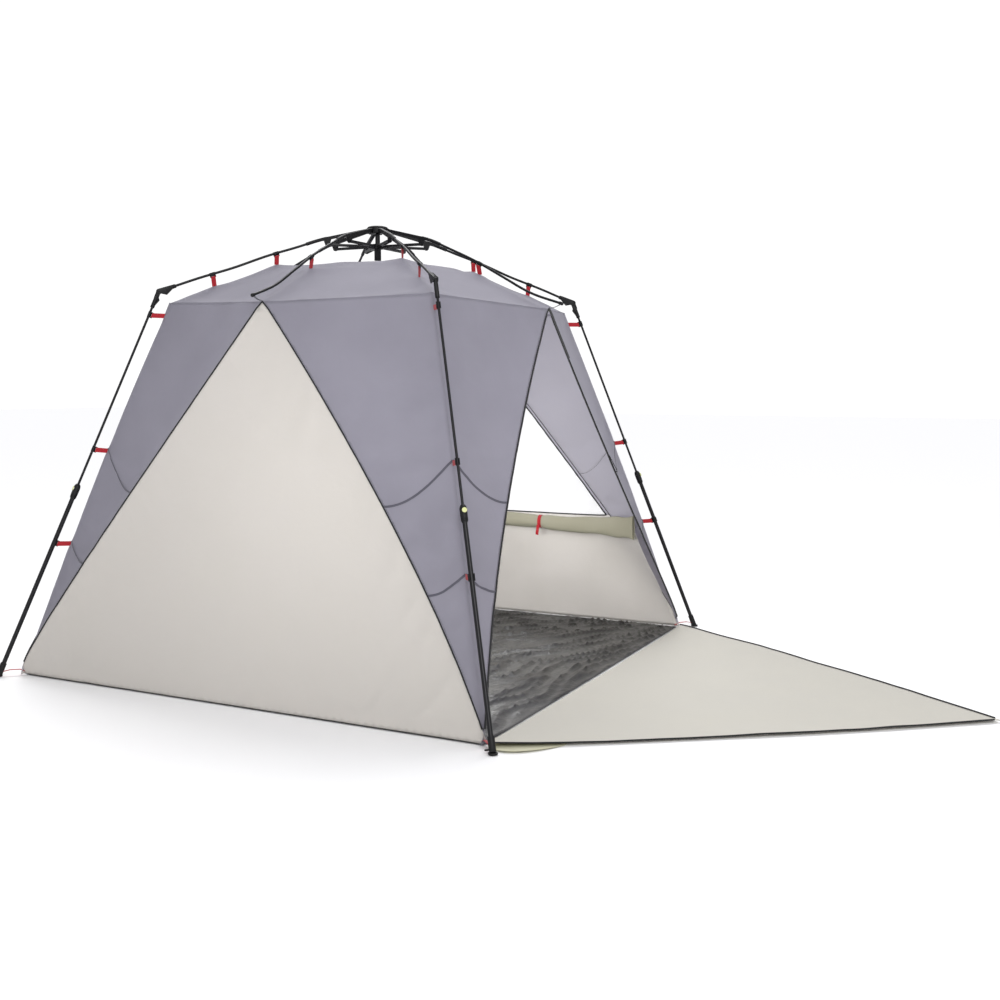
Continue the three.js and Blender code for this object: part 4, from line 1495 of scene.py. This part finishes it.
# %% Seams of the corner sheets
PIPING_RADIUS = 0.0026
STITCH_SPACING = 0.0085
STITCH = (0.0052, 0.0011, 0.0008)
edge_lines = {}
for c, name in enumerate(CORNER_NAMES):
    rows = corner_rows[c]
    last = SIDE_ROWS - 1
    edge_lines[name, "first"] = [rows[j][0] for j in range(last)]
    edge_lines[name, "last"] = [rows[j][-1] for j in range(last)]
    inner = {"first": [rows[j][1] for j in range(last)], "last": [rows[j][-2] for j in range(last)]}
    lines = [along_shell(edge_lines[name, side], 0.0012) for side in ("first", "last")]
    collapses(piping(f"piping_{name}", lines, PIPING_RADIUS, black_tape, "cloth"))
    lines = [along_shell(edge_lines[name, side][2:-6], 0.0009, (inner[side][2:-6], 0.0065))
             for side in ("first", "last")]
    collapses(beading(f"stitches_{name}", lines, STITCH_SPACING, *STITCH, dark_seam, "cloth"))
right_rows = [row for row in wall_rows["right"] if len(row) > 2 and unsettled[row[1]][2] > WINDOW_SILL - 0.01]
lines = [along_shell([row[k] for row in right_rows], 0.0) for k in (1, -2)]
lines.append(along_shell(right_rows[-1][1:-1], 0.0))
collapses(piping("window_zip", lines, 0.0030, black_tape, "cloth"))
collapses(piping("rim_seam", [along_shell(rim + rim[:1], 0.0002)], 0.0009, grey_seam, "cloth", 8, 0.016))
print("seams:", 4 * 2 + 2)

# %% [markdown]
# The doorway's two edges carry the halves of a coil zip: a woven tape, and a row of teeth on its inner side.
# Its real teeth are 1.4 mm apart; they are set 5 mm apart here so that they can be seen as teeth.

# %% Zips of the doorway and the flap
TOOTH_SPACING = 0.005
TOOTH = (0.0026, 0.0045)


def inner_side(indices, distance):
    """Points just inside the doorway from its edge, toward the middle of the front."""
    points = shell_array[indices]
    toward = np.stack([-np.sign(points[:, 0]), np.zeros(len(points)), np.zeros(len(points))], axis=1)
    return points + toward * distance


for name, side in (("front_left", "last"), ("front_right", "first")):
    indices = edge_lines[name, side][1:]
    normals = shell_normals[indices]
    tape = band(inner_side(indices, 0.0035), (1.0, 0, 0), 0.009, 0.0010)
    collapses(settle(merged_mesh(f"zip_tape_{name}", [tape], black_tape, 30), "cloth"))
    collapses(beading(f"zip_teeth_{name}", [(inner_side(indices, 0.0085), normals)], TOOTH_SPACING, *TOOTH,
                      0.0022, black_nylon, "cloth"))

flap_edges = [([row[0] for row in flap_rows[:-1]], -1), ([row[-1] for row in flap_rows[:-1]], 1)]


def beside_flap(outward, lift, leave_out=0):
    """Both edges of the flap, moved outward and up; leave_out points are left out at the tip."""
    lines = []
    for indices, way in flap_edges:
        points = flap_array[indices[:len(indices) - leave_out]] + (way * outward, 0, lift)
        lines.append((points, np.tile((0, 0, 1.0), (len(points), 1))))
    return lines


piping("flap_zip_tape", beside_flap(0, 0.0022), 0.0026, black_tape, "door_flap")
beading("flap_zip_teeth", beside_flap(0.005, 0.0012), TOOTH_SPACING, *TOOTH, 0.0020, black_nylon, "door_flap")
beading("flap_stitches", beside_flap(-0.010, 0.0011, 4), STITCH_SPACING, *STITCH, grey_seam, "door_flap")
print("zips:", 3)

# %% [markdown]
# At the top of the right-hand zip a black webbing guard covers the zip's stop. The curved tapes that run from
# the leg straps to the corner sheets' edges spread the pull into the cloth.

# %% Zip guard and pull tapes
TAPE_WIDTH = 0.0075
TAPE_THICKNESS = 0.0008
GUARD_WIDTH = 0.016


def corner_surface(c, v, share, lift):
    """A point of a settled corner sheet, a little outside it."""
    j = min(SIDE_ROWS - 2, max(0, v * SIDE_ROWS))
    found = []
    for row_number in (int(j), int(j) + 1):
        row = corner_rows[c][row_number]
        i = share * (len(row) - 1)
        low = min(len(row) - 2, int(i))
        pair = [shell_array[row[low + k]] + shell_normals[row[low + k]] * lift for k in (0, 1)]
        found.append(pair[0] * (1 - (i - low)) + pair[1] * (i - low))
    return found[0] * (1 - (j - int(j))) + found[1] * (j - int(j))


PULL_TAPES = [(0.395, 0.100), (0.646, 0.045)]
for c, name in enumerate(CORNER_NAMES):
    parts = []
    for v_strap, drop in PULL_TAPES:
        for direction in (-1, 1):
            path = []
            for t in np.linspace(0, 1, 22):
                v = v_strap + drop * (1 - (1 - t) ** 1.8)
                path.append(corner_surface(c, v, 0.5 + direction * 0.5 * t * 0.985, 0.0016))
            start, end = Vector(path[0]), Vector(path[-1])
            out = Vector(shell_normals[corner_rows[c][int(v_strap * SIDE_ROWS)][2]])
            across = (end - start).normalized().cross(out)
            parts.append(band(path, across, TAPE_WIDTH, TAPE_THICKNESS))
    tapes = merged_mesh(f"pull_tapes_{name}", parts, dark_seam, 30)
    collapses(settle(tapes, "cloth"))

guard_indices = edge_lines["front_right", "first"][:9]
guard_path = shell_array[guard_indices] + shell_normals[guard_indices] * 0.0028
guard = merged_mesh("zip_guard", [band(guard_path, (1.0, 0, 0), GUARD_WIDTH, 0.0014)], black_tape, 30)
collapses(settle(guard, "cloth"))
print("pull tapes:", 16)

# %% [markdown]
# ### The strap round the roll, and the door's toggle loop
# The loop is a thin elastic cord sewn to the right-hand edge of the doorway, which holds the door back when
# it is rolled up. It hangs in a slack U.

# %% Roll strap
station = round(STRAP_AT / ROLL_REACH * ROLL_STEPS)
outer_turn = [station * (ROLL_SEGMENTS + 1) + i for i in range(ROLL_SEGMENTS - 20, ROLL_SEGMENTS + 1)]
roll_middle = roll_array[outer_turn].mean(axis=0)
ring = roll_middle + (roll_array[outer_turn] - roll_middle) * 1.10
ring = list(ring[:-1]) + [ring[0]]
roll_axis = cover_place(STRAP_AT + 0.01, COVER_TOP) - cover_place(STRAP_AT - 0.01, COVER_TOP)
into_room = Vector((0, 0, 1)).cross(roll_axis).normalized()
if into_room.x > 0:
    into_room = -into_room
tail_top = Vector(roll_middle) + into_room * 0.031 - Vector((0, 0, 0.014))
tail = [tail_top, tail_top + Vector((-0.004, 0, -0.016)), tail_top + Vector((-0.002, 0.003, -0.032)),
        tail_top + Vector((0.002, 0.006, -0.045))]
strap_parts = [band(ring, roll_axis, 0.016, 0.0014), band(tail, roll_axis, 0.014, 0.0013)]
roll_strap = merged_mesh("roll_strap", strap_parts, red_webbing, 30)
collapses(settle(roll_strap, "cloth"))
print("roll strap at", [round(float(v), 3) for v in roll_middle])

# %% Toggle loop
TOGGLE_DIAMETER = 0.0030
door_edge = shell_array[edge_lines["front_right", "first"]]
k_top = int(np.argmin(np.abs(door_edge[:, 2] - 0.800)))
k_end = int(np.argmin(np.abs(door_edge[:, 2] - 0.715)))
start = Vector(door_edge[k_top]) + Vector((-0.004, -0.006, 0))
end = Vector(door_edge[k_end]) + Vector((-0.004, -0.006, 0))
loop_points = []
for t in np.linspace(0, 1, 16):
    sag = math.sin(math.pi * t)
    low = Vector((0.012, -0.016, -0.030)) * sag * (0.55 + 0.45 * t)
    loop_points.append(start.lerp(end, t) + low)
toggle_loop = merged_mesh("toggle_loop", [rounded_rod(loop_points, TOGGLE_DIAMETER / 2, 12)], black_tape)
settle(toggle_loop, "cloth")
collapses(toggle_loop)

# %% [markdown]
# ## The studio
# A plain white floor under a white backdrop. A wide soft light from above does most of the work, an area
# light fills the near side, and a weak lamp inside keeps the room from going dark.

# %% Floor, light and world
AMBIENT = 0.58
STAGE_HALF = 40
STAGE_LEVEL = -0.002
stage_mesh = bpy.data.meshes.new("studio_floor")
stage_corners = [(x * STAGE_HALF, y * STAGE_HALF, STAGE_LEVEL)
                 for x, y in ((-1, -1), (1, -1), (1, 1), (-1, 1))]
stage_mesh.from_pydata(stage_corners, [], [(0, 1, 2, 3)])
studio_floor = placed("studio_floor", stage_mesh)
floor_paint, floor_tree = new_material("matt_white_paint")
finish_material(floor_tree, node(floor_tree, "ShaderNodeBsdfPrincipled", inputs={
    "Base Color": linear("#fafafa"), "Roughness": 0.9,
}))
stage_mesh.materials.append(floor_paint)

world = bpy.data.worlds.new("studio")
world.use_nodes = True
bpy.context.scene.world = world
sky = world.node_tree
sky.nodes.clear()
backdrop = node(sky, "ShaderNodeBackground", inputs={"Color": linear("#ffffff"), "Strength": 1.06})
ambient = node(sky, "ShaderNodeBackground", inputs={"Color": linear("#fbfbff"), "Strength": AMBIENT})
seen_directly = node(sky, "ShaderNodeLightPath").outputs["Is Camera Ray"]
both = node(sky, "ShaderNodeMixShader", inputs={"Fac": seen_directly})
sky.links.new(ambient.outputs[0], both.inputs[1])
sky.links.new(backdrop.outputs[0], both.inputs[2])
node(sky, "ShaderNodeOutputWorld", inputs={"Surface": both.outputs[0]})


def lamp(name, kind, energy, place, direction, **settings):
    """A light at a place, shining along a direction."""
    data = bpy.data.lights.new(name, kind)
    data.energy = energy
    for setting, value in settings.items():
        setattr(data, setting, value)
    made = placed(name, data)
    made.location = place
    made.rotation_mode = "QUATERNION"
    made.rotation_quaternion = Vector(direction).to_track_quat("-Z", "Y")
    return made


key_place = Vector((-5.0, -4.2, 4.2))
key_aim = Vector((0, 0, 0.6))
lamp("key_light", "AREA", 200, key_place, key_aim - key_place, shape="RECTANGLE", size=3.0, size_y=3.0)
lamp("overhead_light", "SUN", 1.80, (0, 0, 0), (-3.2, -1.6, -5.0), angle=math.radians(34))
inside_fill = lamp("inside_fill", "POINT", 23, (-0.05, -0.25, 0.62), (0, 0, -1), shadow_soft_size=0.30)
inside_fill.visible_camera = False
bpy.context.scene.view_settings.view_transform = "Standard"
